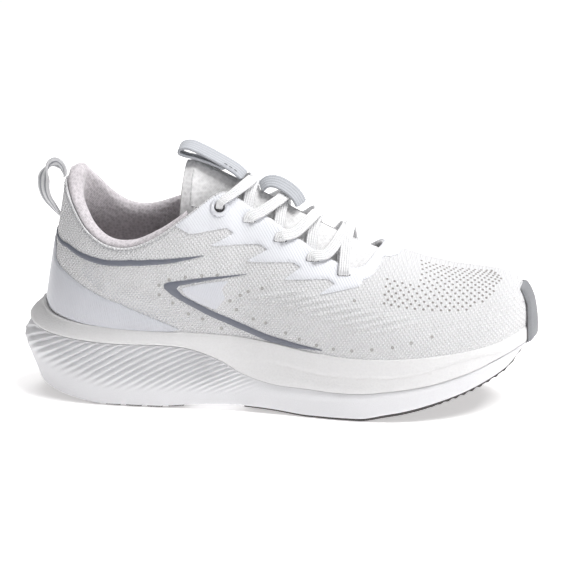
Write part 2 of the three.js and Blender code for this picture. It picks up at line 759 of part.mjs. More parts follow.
function buildBumper() {
  const rings = range(toeRib - bumperRib, toeRib + bumperRib, ringStep / 2).map((k) => {
    const row = rowAt(k);
    const bend = 1 - 0.22 * ((k - toeRib) / bumperRib) ** 2;
    const path = (extra) => [
      wallOf(k, row[14] + clearance + 0.3 + extra, Math.max(groundZ(k) + outsoleThickness + 3, row[13])),
      wallOf(k, row[16] + 1 + clearance + extra, row[15] + 1.5),
      wallOf(k, rimLip + clearance + 0.4 + extra, row[2] + 0.6),
      skin(k, 0.3, -clearance - 0.7 - extra),
      skin(k, 0.3 + 0.14 * bend, -clearance - 0.3 - extra),
      skin(k, 0.3 + 0.27 * bend, -clearance - extra),
    ];
    return [...path(bumperThickness), ...path(0).reverse()];
  });
  return loft(rings, { caps: true });
}

add('toe_bumper', buildBumper(), paint.bumper);

// ---- board and sockliner ----
function footLayer(inset, low, thickness) {
  return layer(soleSteps, (k) => {
    const away = wrap(k) > toeRib ? ringCount - wrap(k) : wrap(k);
    const reach = inset(away);
    const foot = skin(k, 0, 0);
    const point = foot.addScaledVector(outward(k), -reach);
    const bottom = point.clone().setZ(point.z + low);
    return [bottom, bottom.clone().setZ(bottom.z + thickness)];
  }, 3);
}

const boardInset = knitThickness + clearance;
add('strobel_board', footLayer(() => boardInset + 0.35, 0, boardThickness), paint.board);

function sockInset(away) {
  const heel = innerDepth + liningThickness + clearance + 2;
  const fore = knitThickness + puffThickness + 2 * clearance + 1;
  return heel + (fore - heel) * THREE.MathUtils.smoothstep(away, collarRib, collarRib + 2);
}

add('sockliner', footLayer(sockInset, boardThickness + clearance, sockThickness), paint.lining);

// ---- tongue ----
const laceRoom = laceThickness + 2 * clearance; // between the eyestay and the tongue
const tongueDepth = knitThickness + laceRoom + 1.4 * clearance;
const tongueTop = { x: 91, y: 1, z: 138.5 };
const tongueHalfWidth = 19 * across;
const tongueWrap = 36;

// Points across the tongue at one station, from the lateral edge (c = -1) over the ridge to the medial edge.
function tongueRow(station, depth, cs) {
  const throat = Math.max(station, cornerRib + 1.2);
  const flap = 0.17;
  const low = cs.map((c) => {
    const k = sideRib(throat, c < 0 ? -1 : 1);
    const edge = edgeShare(k);
    const start = edge - flap;
    const v = 1 - Math.abs(c) * (1 - start);
    const settle = 3.2 * Math.abs(c) ** 3 * THREE.MathUtils.smoothstep(-throat, -12.5, -9);
    return skin(k, v / edge, tongueDepth + settle + depth);
  });
  if (station >= cornerRib + 1.2) return low;
  const t = (cornerRib + 1.2 - station) / (cornerRib + 1.2 - 4);
  const tilt = new THREE.Vector3(-0.05, 0, -1);
  return low.map((p, i) => {
    const c = cs[i];
    const angle = (c * Math.PI) / 2.15;
    const topPoint = new THREE.Vector3(tongueTop.x * along, tongueTop.y * across, upperZ(tongueTop.z, 52));
    topPoint.y += (tongueHalfWidth - 0.35 * depth) * Math.sin(angle);
    topPoint.addScaledVector(tilt, tongueWrap * (1 - Math.cos(angle)) + depth * Math.cos(angle));
    topPoint.x -= 0.2 * depth * Math.abs(Math.sin(angle));
    const squeeze = 1 - 0.35 * Math.sin(Math.PI * Math.min(1, t * 1.2)) * Math.abs(c);
    const mixed = p.clone().lerp(topPoint, t);
    mixed.y = tongueTop.y + (mixed.y - tongueTop.y) * squeeze;
    return mixed;
  });
}

// A layer of the tongue between two depths; a padding layer stops one step short all round.
function tongueLayer(outer, inner, padding = false) {
  const margin = padding ? 1 : 0;
  const cs = range(-1, 1, 0.2).slice(margin, 11 - margin);
  const rings = range(4, 14.8, 0.9).slice(margin, 13 - 2 * margin).map((station) => {
    const upperSide = tongueRow(station, outer, cs);
    const lowerSide = tongueRow(station, inner, cs);
    return padding ? [...lowerSide, ...upperSide.reverse()] : [...upperSide, ...lowerSide.reverse()];
  });
  return loft(rings, { caps: true });
}

const tongueFoamDepth = tongueShellThickness + 2 * clearance;
const tongueLiningDepth = tongueFoamDepth + tongueFoamThickness + 4 * clearance;
add('tongue_shell', tongueLayer(0, tongueShellThickness), paint.knit);
add('tongue_foam', tongueLayer(tongueFoamDepth, tongueFoamDepth + tongueFoamThickness, true), paint.foam);
add('tongue_lining', tongueLayer(tongueLiningDepth, tongueLiningDepth + tongueLiningThickness), paint.lining);

// A strap standing on edge in side view: a centre line (x, z) with a thickness, as wide as asked.
function strap(centre, width, y, thickness = webbingThickness) {
  const curve = new THREE.CatmullRomCurve3(centre.map(([x, z]) => new THREE.Vector3(x * along, 0, z)));
  const count = 4 * centre.length;
  const rings = range(0, 1, 1 / count).map((t) => {
    const point = curve.getPoint(t);
    const tangent = curve.getTangent(t);
    const normal = new THREE.Vector3(-tangent.z, 0, tangent.x).multiplyScalar(thickness / 2);
    const corners = [[-1, -1], [1, -1], [1, 1], [-1, 1]];
    return corners.map(([a, b]) => point.clone().addScaledVector(normal, b)
      .add(new THREE.Vector3(0, y + (a * width) / 2, 0)));
  });
  return loft(rings, { caps: true });
}

const pullTabLine = [
  [88, 138.5], [85.5, 141], [87, 143.6], [92, 144], [99, 141.8], [106, 138], [110, 136.2], [113.5, 133.8], [115.4, 130.4],
];
add('tongue_pull_tab', strap(pullTabLine, pullTabWidth, tongueTop.y), paint.webbing);

const keeperLine = [[130.8, 121.8], [134, 124.2], [139, 124], [145, 121.1], [149.6, 117.3], [152.4, 112.8]];
add('lace_keeper', strap(keeperLine, keeperWidth, 2), paint.webbing);

// ---- heel pull loop ----
const heelLoopLine = [
  [19.5, 127.5], [14.5, 128.5], [10.5, 126], [8.2, 121], [7.8, 114.5], [9.8, 109], [12.8, 105], [15.2, 100],
];
add('heel_pull_loop', strap(heelLoopLine, loopWidth, 0), paint.webbing);

// ---- lace: one flat ribbon through every hole ----
const overDepth = -(clearance + filmThickness + clearance + laceThickness / 2 + 0.1);
const underDepth = knitThickness + clearance + laceThickness / 2;
const ridgeUnder = tongueDepth - clearance - 0.65 - laceThickness / 2;
const ridgeOver = ridgeUnder - laceThickness - clearance - 0.2;

function surfaceStep(k, w, depth, sign, width = laceWidth) {
  const { point, normal } = surfaceAt(k, w);
  return { point: point.addScaledVector(normal, -depth), normal: normal.multiplyScalar(sign), width };
}

// Steps over the ridge of the tongue, between the two throat edges.
function ridgeStep(k, share, depth, sign) {
  const throat = edgeShare(k);
  const v = throat + (1 - throat) * share;
  return surfaceStep(k, v / throat, depth, sign);
}

// Where each pair of strands crosses, from the lower row (0) to the upper row (1).
const crossing = [0.1, 0.46, 0.42, 0.5];

function laceHalf(startSign) {
  const steps = [];
  let side = startSign;
  let face = 1;
  for (let row = laceRows.length - 1; row >= 0; row -= 1) {
    const { k, w, point, normal, upRib } = holeFrame(row, side);
    const width = row === 0 ? topHoleLaceWidth : laceWidth;
    const out = row === 0 ? ringTop + clearance + laceThickness / 2 : -overDepth;
    steps.push(ridgeStep(k, 0.35, overDepth + 0.2, face));
    steps.push(surfaceStep(k, 1, (overDepth - out) / 2, face, (width + laceWidth) / 2));
    steps.push({ point: point.clone().addScaledVector(normal, out + 0.3).addScaledVector(upRib, 1.6),
      normal: normal.clone().multiplyScalar(face), width });
    const middle = (out - underDepth) / 2;
    steps.push({ point: point.clone().addScaledVector(normal, middle).addScaledVector(upRib, -0.1),
      normal: upRib.clone().multiplyScalar(-face), width });
    if (row === 0) {
      steps.push({ point: point.clone().addScaledVector(normal, -underDepth - 0.6).addScaledVector(upRib, -2),
        normal: normal.clone().multiplyScalar(face), width });
      break;
    }
    face = -face;
    steps.push({ point: point.clone().addScaledVector(normal, -underDepth - 0.2).addScaledVector(upRib, 1.8),
      normal: normal.clone().multiplyScalar(face), width });
    const next = sideRib(laceRows[row - 1], side);
    const aim = (share) => k + (next - k) * share;
    steps.push(surfaceStep(aim(0.12), 1, underDepth, face));
    const ridge = startSign < 0 ? ridgeUnder : ridgeOver;
    steps.push(ridgeStep(aim(0.32), 0.5, (underDepth + ridge) / 2, face));
    steps.push(ridgeStep(aim(crossing[row - 1]), 1, ridge, face));
    side = -side;
    const across2 = sideRib(laceRows[row - 1], side);
    const back = sideRib(laceRows[row], side);
    steps.push(ridgeStep(across2 + (back - across2) * 0.25, 0.6, (ridge + overDepth) / 2, face));
  }
  return steps;
}

function ribbon(steps, thickness) {
  const path = new THREE.CatmullRomCurve3(steps.map((s) => s.point), false, 'centripetal');
  const fine = 2;
  const rings = [];
  for (let i = 0; i <= (steps.length - 1) * fine; i += 1) {
    const t = i / fine;
    const a = steps[Math.min(Math.floor(t), steps.length - 1)];
    const b = steps[Math.min(Math.floor(t) + 1, steps.length - 1)];
    const mix = t - Math.floor(t);
    const point = path.getPoint(t / (steps.length - 1));
    const tangent = path.getTangent(t / (steps.length - 1)).normalize();
    const normal = a.normal.clone().lerp(b.normal, mix);
    normal.addScaledVector(tangent, -normal.dot(tangent)).normalize();
    const wide = tangent.clone().cross(normal).multiplyScalar((a.width + (b.width - a.width) * mix) / 2);
    const thick = normal.multiplyScalar(thickness / 2);
    rings.push([[-1, -1], [1, -1], [1, 1], [-1, 1]].map(([p, q]) => point.clone()
      .addScaledVector(wide, p).addScaledVector(thick, q)));
  }
  return loft(rings, { caps: true });
}

const barMiddle = surfaceStep(laceRows[4], 1 / edgeShare(laceRows[4]), overDepth + 0.6, 1);
const laceSteps = [...laceHalf(1).reverse(), barMiddle, ...laceHalf(-1)];
add('shoelace', ribbon(laceSteps, laceThickness), paint.lace);

// ---- lace tails, tucked down inside the shoe and along the sockliner, each with its aglet ----
const tails = {
  lateral: [
    [111.3, -19, 104.6], [112.6, -20.6, 99.6], [114.3, -22.9, 94], [116.7, -25.6, 84.9], [119.7, -28.1, 73.5],
    [122.8, -29.4, 62.3], [126.5, -29.2, 52.6], [131.5, -26.6, 45.4], [138.5, -22.6, 42.6], [147, -18.8, 41.2],
    [156, -16.4, 39.8], [165, -15.6, 38.6], [174, -16.6, 37.6], [182, -18.9, 37], [189, -21.8, 36.7],
  ],
  medial: [
    [111.8, 17, 105.2], [113, 18.4, 100], [115.1, 19.9, 94.4], [117.5, 22.6, 85.1], [120.3, 24.7, 73.8],
    [123.1, 25.6, 62.7], [126.6, 25.2, 53], [131.6, 22.2, 45.6], [138.5, 18, 42.6], [147, 14.4, 41.2],
    [156, 12.2, 39.8], [165, 11.6, 38.6], [174, 12.8, 37.6], [182, 15.4, 37], [189, 18.6, 36.7],
  ],
};
const tailWidth = 4.6;
const tailRim = 36; // the height of the rim where the tails lie on the sockliner

// A flat tail: it hangs flat against the wall of the shoe and then lies flat on the sockliner.
function tailSteps(points, sign) {
  const wall = new THREE.Vector3(0, sign, 0);
  const floor = new THREE.Vector3(0, 0, 1);
  return points.map((p, i) => {
    const lying = THREE.MathUtils.smoothstep(i, 5, 9);
    const normal = wall.clone().negate().lerp(floor, lying).normalize();
    return { point: p, normal, width: tailWidth };
  });
}

sides.forEach(({ name, sign }) => {
  const points = tails[name].map(([x, y, z]) => new THREE.Vector3(x * along, y * across, upperZ(z, tailRim)));
  add(`lace_tail_${name}`, ribbon(tailSteps(points, sign), laceThickness), paint.lace);
  const end = points.at(-1);
  const heading = end.clone().sub(points.at(-2)).setZ(-0.3).normalize();
  const tube = new THREE.CylinderGeometry(aglet.radius, aglet.radius, aglet.length, 10);
  tube.translate(0, aglet.length / 2 + clearance, 0);
  tube.applyQuaternion(new THREE.Quaternion().setFromUnitVectors(new THREE.Vector3(0, 1, 0), heading));
  tube.translate(end.x, end.y, end.z + 0.9);
  add(`aglet_${name}`, geometryOf(solidOf(tube)), paint.plastic);
});

// ---- placed with the middle of its footprint at the origin ----
const box = new THREE.Box3().setFromObject(shoe);
shoe.position.set(-(box.min.x + box.max.x) / 2, -(box.min.y + box.max.y) / 2, -box.min.z);
const placed = new THREE.Group();
placed.add(shoe);

export default placed;
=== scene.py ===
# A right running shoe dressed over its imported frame.
# Shapes are worked out in millimetres from the heel (draft space) and placed in metres in the part's frame.
import math
import bmesh
import bpy
import numpy as np
from mathutils import Matrix
from mathutils.geometry import delaunay_2d_cdt


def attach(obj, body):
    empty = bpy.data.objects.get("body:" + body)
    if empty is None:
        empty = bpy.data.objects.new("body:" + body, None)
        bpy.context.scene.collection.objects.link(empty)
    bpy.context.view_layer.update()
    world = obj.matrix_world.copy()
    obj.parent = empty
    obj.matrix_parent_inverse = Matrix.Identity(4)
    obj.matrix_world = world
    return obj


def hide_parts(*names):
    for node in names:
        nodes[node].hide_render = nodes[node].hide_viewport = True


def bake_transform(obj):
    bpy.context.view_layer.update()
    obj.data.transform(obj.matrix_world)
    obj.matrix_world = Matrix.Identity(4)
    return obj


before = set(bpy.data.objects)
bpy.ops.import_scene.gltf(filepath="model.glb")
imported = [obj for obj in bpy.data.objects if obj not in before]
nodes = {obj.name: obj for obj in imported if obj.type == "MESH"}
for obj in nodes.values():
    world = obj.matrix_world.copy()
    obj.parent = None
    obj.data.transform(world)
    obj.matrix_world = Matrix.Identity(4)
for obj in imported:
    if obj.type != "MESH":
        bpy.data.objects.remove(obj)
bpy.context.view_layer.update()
scene = bpy.context.scene

# ---- draft space ----
MIDDLE = np.array([141.8236, -0.5742, 0.0])  # middle of the footprint
ALONG = 290 / 290.6
ACROSS = 100 / 101.8
RIM_BITE = 6.0
KNIT = 1.6
UP = np.array([0.0, 0.0, 1.0])


def metres(p):
    return (np.asarray(p, float) - MIDDLE) / 1000


def unit(v):
    return v / np.maximum(np.linalg.norm(v, axis=-1, keepdims=True), 1e-9)


def smooth(x, low, high):
    t = np.clip((np.asarray(x, float) - low) / (high - low), 0, 1)
    return t * t * (3 - 2 * t)


def catmull_rom(a, b, c, d, t):
    """From b to c as t goes from 0 to 1, with a and d as the neighbours."""
    return 0.5 * (2 * b + (c - a) * t + (2 * a - 5 * b + 4 * c - d) * t ** 2
                  + (3 * b - a - 3 * c + d) * t ** 3)


# ---- camera ----
AZIMUTH, ELEVATION, DISTANCE = math.radians(8), math.radians(15), 1300.0
TARGET = np.array([145.0, 0.0, 50.0])
SENSOR = 36.0  # width in millimetres
IMAGE = 564  # width in pixels
ENLARGED = 1.77  # pixels for one millimetre at the target
RIGHT = np.array([math.cos(AZIMUTH), math.sin(AZIMUTH), 0.0])
AHEAD = np.array([-math.sin(AZIMUTH) * math.cos(ELEVATION), math.cos(AZIMUTH) * math.cos(ELEVATION),
                  -math.sin(ELEVATION)])
camera_data = bpy.data.cameras.new("camera")
camera = bpy.data.objects.new("camera", camera_data)
scene.collection.objects.link(camera)
pose = Matrix(np.stack([RIGHT, np.cross(RIGHT, AHEAD), -AHEAD], 1).tolist()).to_4x4()
pose.translation = metres(TARGET - AHEAD * DISTANCE)
camera.matrix_world = pose
camera_data.lens = SENSOR * ENLARGED * DISTANCE / IMAGE
camera_data.shift_x = -2 / IMAGE
camera_data.shift_y = 24 / IMAGE
camera_data.clip_end = 20
scene.camera = camera

# ---- the last: ribs from the middle of the heel round the lateral side to the toe, as in the CAD ----
# RIBS: rim x, lateral y, medial y, z, wall bulge and rise, crown x, y and z on each side,
# roof reach and drop, edge height on each side.
# SOLE: ground z and reach, bulge z and reach, z and reach of the line between the two foams.
RIBS = np.array([
    [8, 0, 0, 52, -7, 34, 22, 0, 0, 127, 127, 4, 24, 121, 121],
    [10.5, 11.5, 11.5, 49.8, -3.5, 34, 23.5, 8.5, 8.5, 124, 125, 3.5, 24, 117, 118.5],
    [18, 22, 21.5, 46.8, 1.5, 32, 29, 17, 16, 114, 120, 3, 22, 107, 113],
    [31, 29.5, 28.5, 44.7, 4, 29, 38, 25.5, 24, 104, 111, 2.5, 18, 96.5, 104.5],
    [47, 33, 31.5, 43.4, 5, 26, 50, 31, 28, 97.5, 106, 2.5, 16, 89.4, 99],
    [64, 34.3, 32, 42.5, 5, 26, 64, 32.5, 28.5, 97, 106, 2.5, 16, 88.6, 98.5],
    [80, 34.3, 31, 42.1, 5, 28, 79, 30.5, 27, 105, 112, 4, 18, 95, 103],
    [97, 34, 30, 42, 5.5, 30, 95, 24, 22, 117, 120, 8, 16, 106.5, 110.5],
    [114, 34.3, 29.5, 41.5, 6.5, 32, 113, 8, 6, 129, 130, 14, 9, 118.2, 118.8],
    [128, 35.2, 30, 40.8, 7, 33, 127, -2, 2, 123.5, 123.5, 17, 1, 111.6, 112],
    [146, 38.7, 32.5, 39, 7.5, 33, 145, -2.5, 2.5, 114.6, 114.6, 16, 0.5, 101.8, 102.4],
    [165, 43, 37.5, 36.3, 8, 32, 163, -3, 3, 105.6, 105.6, 15, 0, 90.5, 91.5],
    [181, 46, 42, 34.7, 8, 31, 178, -3.5, 3.5, 98.2, 98.2, 14.5, 0, 82.3, 83.8],
    [195, 47.4, 45, 34.3, 8.5, 29, 190, -4, 4, 92.6, 92.6, 18, 0, 80, 81.5],
    [207, 47.3, 46.5, 34.6, 8.5, 27, 201, -4, 4, 88.2, 88.2, 20, 0, 88.2, 88.2],
    [219, 46.2, 46.5, 35.1, 9, 25, 213, -4, 4, 83.9, 83.9, 21, 0, 83.9, 83.9],
    [233, 43, 45, 36.1, 9, 24, 226, -4.5, 4.5, 79.8, 79.8, 20, 0, 79.8, 79.8],
    [248, 37.2, 41.5, 37.6, 9, 23, 237, -5, 5, 77.4, 77.4, 20, 0, 77.4, 77.4],
    [261, 29.5, 36, 39.5, 9, 23, 247, -5, 5, 76.2, 76.2, 19, 0, 76.2, 76.2],
    [272, 20, 28.5, 42.3, 8, 23, 255, -5, 5, 75.5, 75.5, 18, 0, 75.5, 75.5],
    [280, 8.5, 18, 45, 6, 22, 260, -5, 5, 75.2, 75.2, 17.5, 0, 75.2, 75.2],
    [284, -5, 5, 46.8, 3, 20, 262, -5, 5, 75.1, 75.1, 18, 0, 75.1, 75.1],
])
SOLE = np.array([
    [9.5, 5, 30, 12.3, 41.5, 8.5], [8, 5, 28, 11.5, 39.5, 7.5], [5.5, 6, 26, 10, 37.5, 6],
    [2.5, 7, 24, 9, 36, 5], [0, 7.5, 22, 8.5, 35, 4.5], [0, 7.5, 21, 8, 34.9, 4.2],
    [0, 7.5, 20, 8, 35.1, 4.2], [1.2, 7, 19, 7.5, 33.8, 4.5], [2.2, 6.5, 16, 7.2, 28.8, 5.5],
    [2.4, 6.5, 13.5, 7, 21.8, 6], [1.6, 5.5, 11, 6, 17, 5.2], [0, 4.8, 10, 5, 16, 4.4],
    [0, 4.8, 10, 4.8, 15.2, 4], [0, 4.5, 10.5, 4.6, 15.5, 3.8], [2.3, 4.2, 12.5, 4.4, 16.8, 3.6],
    [4.6, 3.8, 14.5, 4, 18.5, 3.5], [8.2, 3.2, 17.5, 3.6, 21, 3.3], [12.8, 2.4, 21.5, 3.2, 25, 3],
    [18, 1.6, 25.5, 2.8, 29.5, 2.6], [23.5, 0.6, 30.5, 2.2, 34, 2.2], [29.5, -1, 34.5, 1.6, 37, 1.8],
    [33, -2, 37.4, 1.2, 38.6, 1.4],
])
TOE = len(RIBS) - 1
RING = 2 * TOE
THROAT = 14


def ring_row(i):
    lateral = i <= TOE
    at = i if lateral else RING - i
    x, y_lat, y_med, z, bulge, rise, cx, c_lat, c_med, z_lat, z_med, reach, drop, e_lat, e_med = RIBS[at]
    side = -ACROSS if lateral else ACROSS
    upper = [y_lat, c_lat, z_lat, e_lat] if lateral else [y_med, c_med, z_med, e_med]
    return [x * ALONG, side * upper[0], z, bulge, rise, cx * ALONG, side * upper[1], upper[2], reach, drop,
            upper[3], *SOLE[at]]


ROWS = np.array([ring_row(i) for i in range(RING)])
# The columns of a row: two points, the rim and the crown, and single measures.
RIM, CROWN = slice(0, 3), slice(5, 8)
RIM_Z, WALL_OUT, WALL_UP = 2, 3, 4
ROOF_OUT, ROOF_DOWN, EDGE, GROUND, GROUND_OUT, BULGE, BULGE_OUT, LINE, LINE_OUT = range(8, 17)


def row_at(k):
    k = np.asarray(k, float)
    base = np.floor(k).astype(int)
    t = (k - base)[..., None]
    a, b, c, d = (ROWS[(base + o) % RING] for o in (-1, 0, 1, 2))
    return catmull_rom(a, b, c, d, t)


def outward(k):
    a = row_at(k - 0.05)
    b = row_at(k + 0.05)
    return unit(np.stack([b[..., 1] - a[..., 1], a[..., 0] - b[..., 0], np.zeros_like(a[..., 0])], -1))


def curve(k, v):
    row = row_at(k)
    out = outward(k)
    foot = row[..., RIM] - UP * RIM_BITE
    crown = row[..., CROWN]
    wall = foot + out * row[..., WALL_OUT, None] + UP * row[..., WALL_UP, None]
    roof = crown + out * row[..., ROOF_OUT, None] - UP * row[..., ROOF_DOWN, None]
    v = np.asarray(v)[..., None]
    u = 1 - v
    return foot * u ** 3 + 3 * wall * u * u * v + 3 * roof * u * v * v + crown * v ** 3


def on_ridge(k):
    i = np.mod(k, RING)
    return (i >= THROAT) & (i <= RING - THROAT)


def edge_share(k):
    found, back = np.unique(np.round(np.mod(k, RING), 6), return_inverse=True)
    target = row_at(found)[:, EDGE]
    low = np.full(len(found), 0.3)
    high = np.ones(len(found))
    for _ in range(24):
        middle = (low + high) / 2
        under = curve(found, middle)[:, 2] < target
        low = np.where(under, middle, low)
        high = np.where(under, high, middle)
    share = np.where(on_ridge(found), 1.0, (low + high) / 2)
    return share[back].reshape(np.shape(k))


def surface(k, w):
    share = edge_share(k)
    v = w * share
    near = np.minimum(v, 0.97)
    ahead = curve(k + 0.02, near) - curve(k - 0.02, near)
    upward = curve(k, near + 0.01) - curve(k, near - 0.01)
    normal = unit(np.cross(ahead, upward))
    away = np.minimum(np.minimum(np.mod(k, RING), RING - np.mod(k, RING)), TOE - 0.5)
    run = row_at(away + 0.1)[..., CROWN] - row_at(away - 0.1)[..., CROWN]
    ridge = unit(np.stack([-run[..., 2], np.zeros_like(away), run[..., 0]], -1))
    mix = (np.clip((v - 0.9) / 0.1, 0, 1) * on_ridge(k))[..., None]
    return curve(k, v), unit(normal * (1 - mix) + ridge * mix)


def skin(k, w, depth):
    k, w, depth = np.broadcast_arrays(np.asarray(k, float), w, depth)
    point, normal = surface(k, w)
    return point - normal * depth[..., None]


def walked(points):
    """The length of a path up to each of its points."""
    return np.concatenate([[0], np.cumsum(np.linalg.norm(np.diff(points, axis=0), axis=1))])


def resample(at, run, values):
    return np.stack([np.interp(at, run, column) for column in values.T], 1)


def arc_length(k, w):
    """Distance along the ring from rib 0 at height share w, as a function of k, for even patterns."""
    ks = np.arange(0, RING + 0.01, 0.1)
    return np.interp(k, ks, walked(curve(ks, np.full(len(ks), w))))


def rib_length(k):
    share = edge_share(k)
    steps = [curve(k, share * i / 16) for i in range(17)]
    return sum(np.linalg.norm(b - a, axis=-1) for a, b in zip(steps, steps[1:]))


def wall_point(k, h, depth):
    """A point h below the edge, or above it where h is negative, and depth inside the surface."""
    length = rib_length(k)
    edge, normal = surface(k, np.ones_like(k))
    tangent = unit(edge - surface(k, np.full_like(k, 0.94))[0])
    above = edge + tangent * -np.minimum(h, 0)[..., None] - normal * depth[..., None]
    below = skin(k, 1 - np.maximum(h, 0) / length, depth)
    return np.where((h < 0)[..., None], above, below)


def spline(control, count):
    """Catmull-Rom through control (..., m, 3), as count points."""
    m = control.shape[-2]
    t = np.linspace(0, m - 1, count)
    i = np.clip(np.floor(t).astype(int), 0, m - 2)
    f = (t - i)[:, None]
    a, b, c, d = (control[..., np.clip(i + o, 0, m - 1), :] for o in (-1, 0, 1, 2))
    return catmull_rom(a, b, c, d, f)


# ---- meshes ----
def build(name, points, faces, material, uv=None, weld=2e-5, crease=None, slots=None):
    """A mesh object from draft points, with uv for each point and a material slot for each face."""
    mesh = bpy.data.meshes.new(name)
    mesh.from_pydata(metres(points).tolist(), [], [list(map(int, f)) for f in faces])
    if uv is not None:
        layer = mesh.uv_layers.new(name="UVMap")
        loops = np.zeros(len(mesh.loops), int)
        mesh.loops.foreach_get("vertex_index", loops)
        layer.data.foreach_set("uv", np.asarray(uv, float)[loops].ravel())
    if slots is not None:
        mesh.polygons.foreach_set("material_index", np.asarray(slots, np.int32))
    work = bmesh.new()
    work.from_mesh(mesh)
    if weld:
        bmesh.ops.remove_doubles(work, verts=work.verts, dist=weld)
        bmesh.ops.dissolve_degenerate(work, dist=1e-6, edges=work.edges)
    bmesh.ops.recalc_face_normals(work, faces=work.faces)
    work.to_mesh(mesh)
    work.free()
    mesh.shade_smooth()
    if crease:
        mesh.set_sharp_from_angle(angle=math.radians(crease))
    thing = bpy.data.objects.new(name, mesh)
    scene.collection.objects.link(thing)
    for m in material if isinstance(material, list) else [material]:
        mesh.materials.append(m)
    return thing


def quads(n, m, ring=False, tube=False, start=0):
    i = np.arange(n if ring else n - 1)[:, None]
    j = np.arange(m if tube else m - 1)[None, :]
    a, b = i * m, ((i + 1) % n) * m
    return (np.stack(np.broadcast_arrays(a + j, b + j, b + (j + 1) % m, a + (j + 1) % m), -1)
            .reshape(-1, 4) + start)


def end_caps(n, m, start=0):
    last = start + (n - 1) * m
    return [list(range(start, start + m)), list(range(last + m - 1, last - 1, -1))]


def loft(name, rings, material, ring=False, caps=True, **more):
    """Closed profiles (n, m, 3) joined one after another, and capped unless they run round in a ring."""
    n, m = rings.shape[:2]
    faces = quads(n, m, ring=ring, tube=True).tolist()
    if caps and not ring:
        faces += end_caps(n, m)
    return build(name, rings.reshape(-1, 3), faces, material, **more)


def side_k(rib, side):
    return rib if side < 0 else RING - rib


# ---- (x, z) outlines on the upper, turned into rib and height share ----
GRID_K, GRID_W = np.meshgrid(np.arange(0, TOE + 0.01, 0.05), np.linspace(0, 1, 161), indexing="ij")
GRID = {-1: surface(GRID_K, GRID_W)[0], 1: surface(RING - GRID_K, GRID_W)[0]}


def locate(x, z, side):
    """Rib and height share where the upper's side wall passes x, z."""
    flat = GRID[side].reshape(-1, 3)
    at = ((flat[:, [0, 2]] - [x, z]) ** 2).sum(1).argmin()
    k0, w0 = GRID_K.ravel()[at], GRID_W.ravel()[at]
    near_k = np.linspace(max(k0 - 0.06, 0), k0 + 0.06, 13)
    near_w = np.clip(np.linspace(w0 - 0.007, w0 + 0.007, 11), 0, 1)
    kk, ww = np.meshgrid(near_k, near_w)
    fine = surface(kk if side < 0 else RING - kk, ww)[0]
    best = ((fine[..., [0, 2]] - [x, z]) ** 2).sum(-1).argmin()
    return kk.ravel()[best], ww.ravel()[best]


def soften(outline):
    """Cuts an outline's corners off, a tenth of the way along each side."""
    points = np.asarray(outline, float)
    after = np.roll(points, -1, axis=0)
    return np.stack([points * 0.9 + after * 0.1, points * 0.1 + after * 0.9], 1).reshape(-1, 2)


def divide(points, step):
    """Points along a closed outline, no further apart than step."""
    out = []
    for a, b in zip(points, np.roll(points, -1, axis=0)):
        count = max(1, int(np.ceil(np.linalg.norm(b - a) / step)))
        out += [a + (b - a) * i / count for i in range(count)]
    return np.array(out)


def inside(points, outline):
    x, y = points[:, 0][:, None], points[:, 1][:, None]
    ax, ay = outline[:, 0], outline[:, 1]
    bx, by = np.roll(ax, -1), np.roll(ay, -1)
    level = (ay > y) != (by > y)
    crossing = ax + (y - ay) * (bx - ax) / np.where(by == ay, 1e-9, by - ay)
    return (level & (x < crossing)).sum(1) % 2 == 1


SCALE = np.array([13.0, 85.0])  # millimetres for one rib and for one whole height, for even meshes
FILM_LIFT = 0.1
FILM_ROOT = 0.25  # how far a film goes down into the knit


def patch(name, outline_kw, side, material, thick, step):
    """A thin film cut to an outline in (rib, height share) of one side, lying on the knit."""
    outline = divide(np.asarray(outline_kw) * SCALE, step)
    low, high = outline.min(0), outline.max(0)
    rows = []
    for n, y in enumerate(np.arange(low[1], high[1], step * 0.87)):
        xs = np.arange(low[0] + (n % 2) * step / 2, high[0], step)
        rows.append(np.stack([xs, np.full(len(xs), y)], 1))
    fill = np.concatenate(rows)
    fill = fill[inside(fill, outline)]
    clear = np.min(((fill[:, None] - outline[None]) ** 2).sum(-1), axis=1) > (0.55 * step) ** 2
    every = np.concatenate([outline, fill[clear]])
    rim = len(outline)
    edges = [(i, (i + 1) % rim) for i in range(rim)]
    verts, _, faces, origin, _, _ = delaunay_2d_cdt(every.tolist(), edges, [], 1, 1e-5)
    flat = np.array([list(v) for v in verts]) / SCALE
    border = np.array([any(o < rim for o in group) for group in origin])
    k = flat[:, 0] if side < 0 else RING - flat[:, 0]
    w = np.clip(flat[:, 1], 0, 1)
    top = skin(k, w, -FILM_LIFT - np.where(border, 0.45 * thick, thick))
    bottom = skin(k, w, FILM_ROOT)
    count = len(flat)
    solid = [list(f) for f in faces]
    pairs = dict.fromkeys((a, b) for f in solid for a, b in zip(f, f[1:] + f[:1]))
    walls = [[b, a, a + count, b + count] for a, b in pairs if (b, a) not in pairs]
    under = [[v + count for v in reversed(f)] for f in solid]
    return build(name, np.concatenate([top, bottom]), solid + under + walls, material, crease=40)


def side_outline(points, side, step):
    return [locate(x, z, side) for x, z in divide(np.asarray(points, float), step)]


DOT_LIFT = 0.04


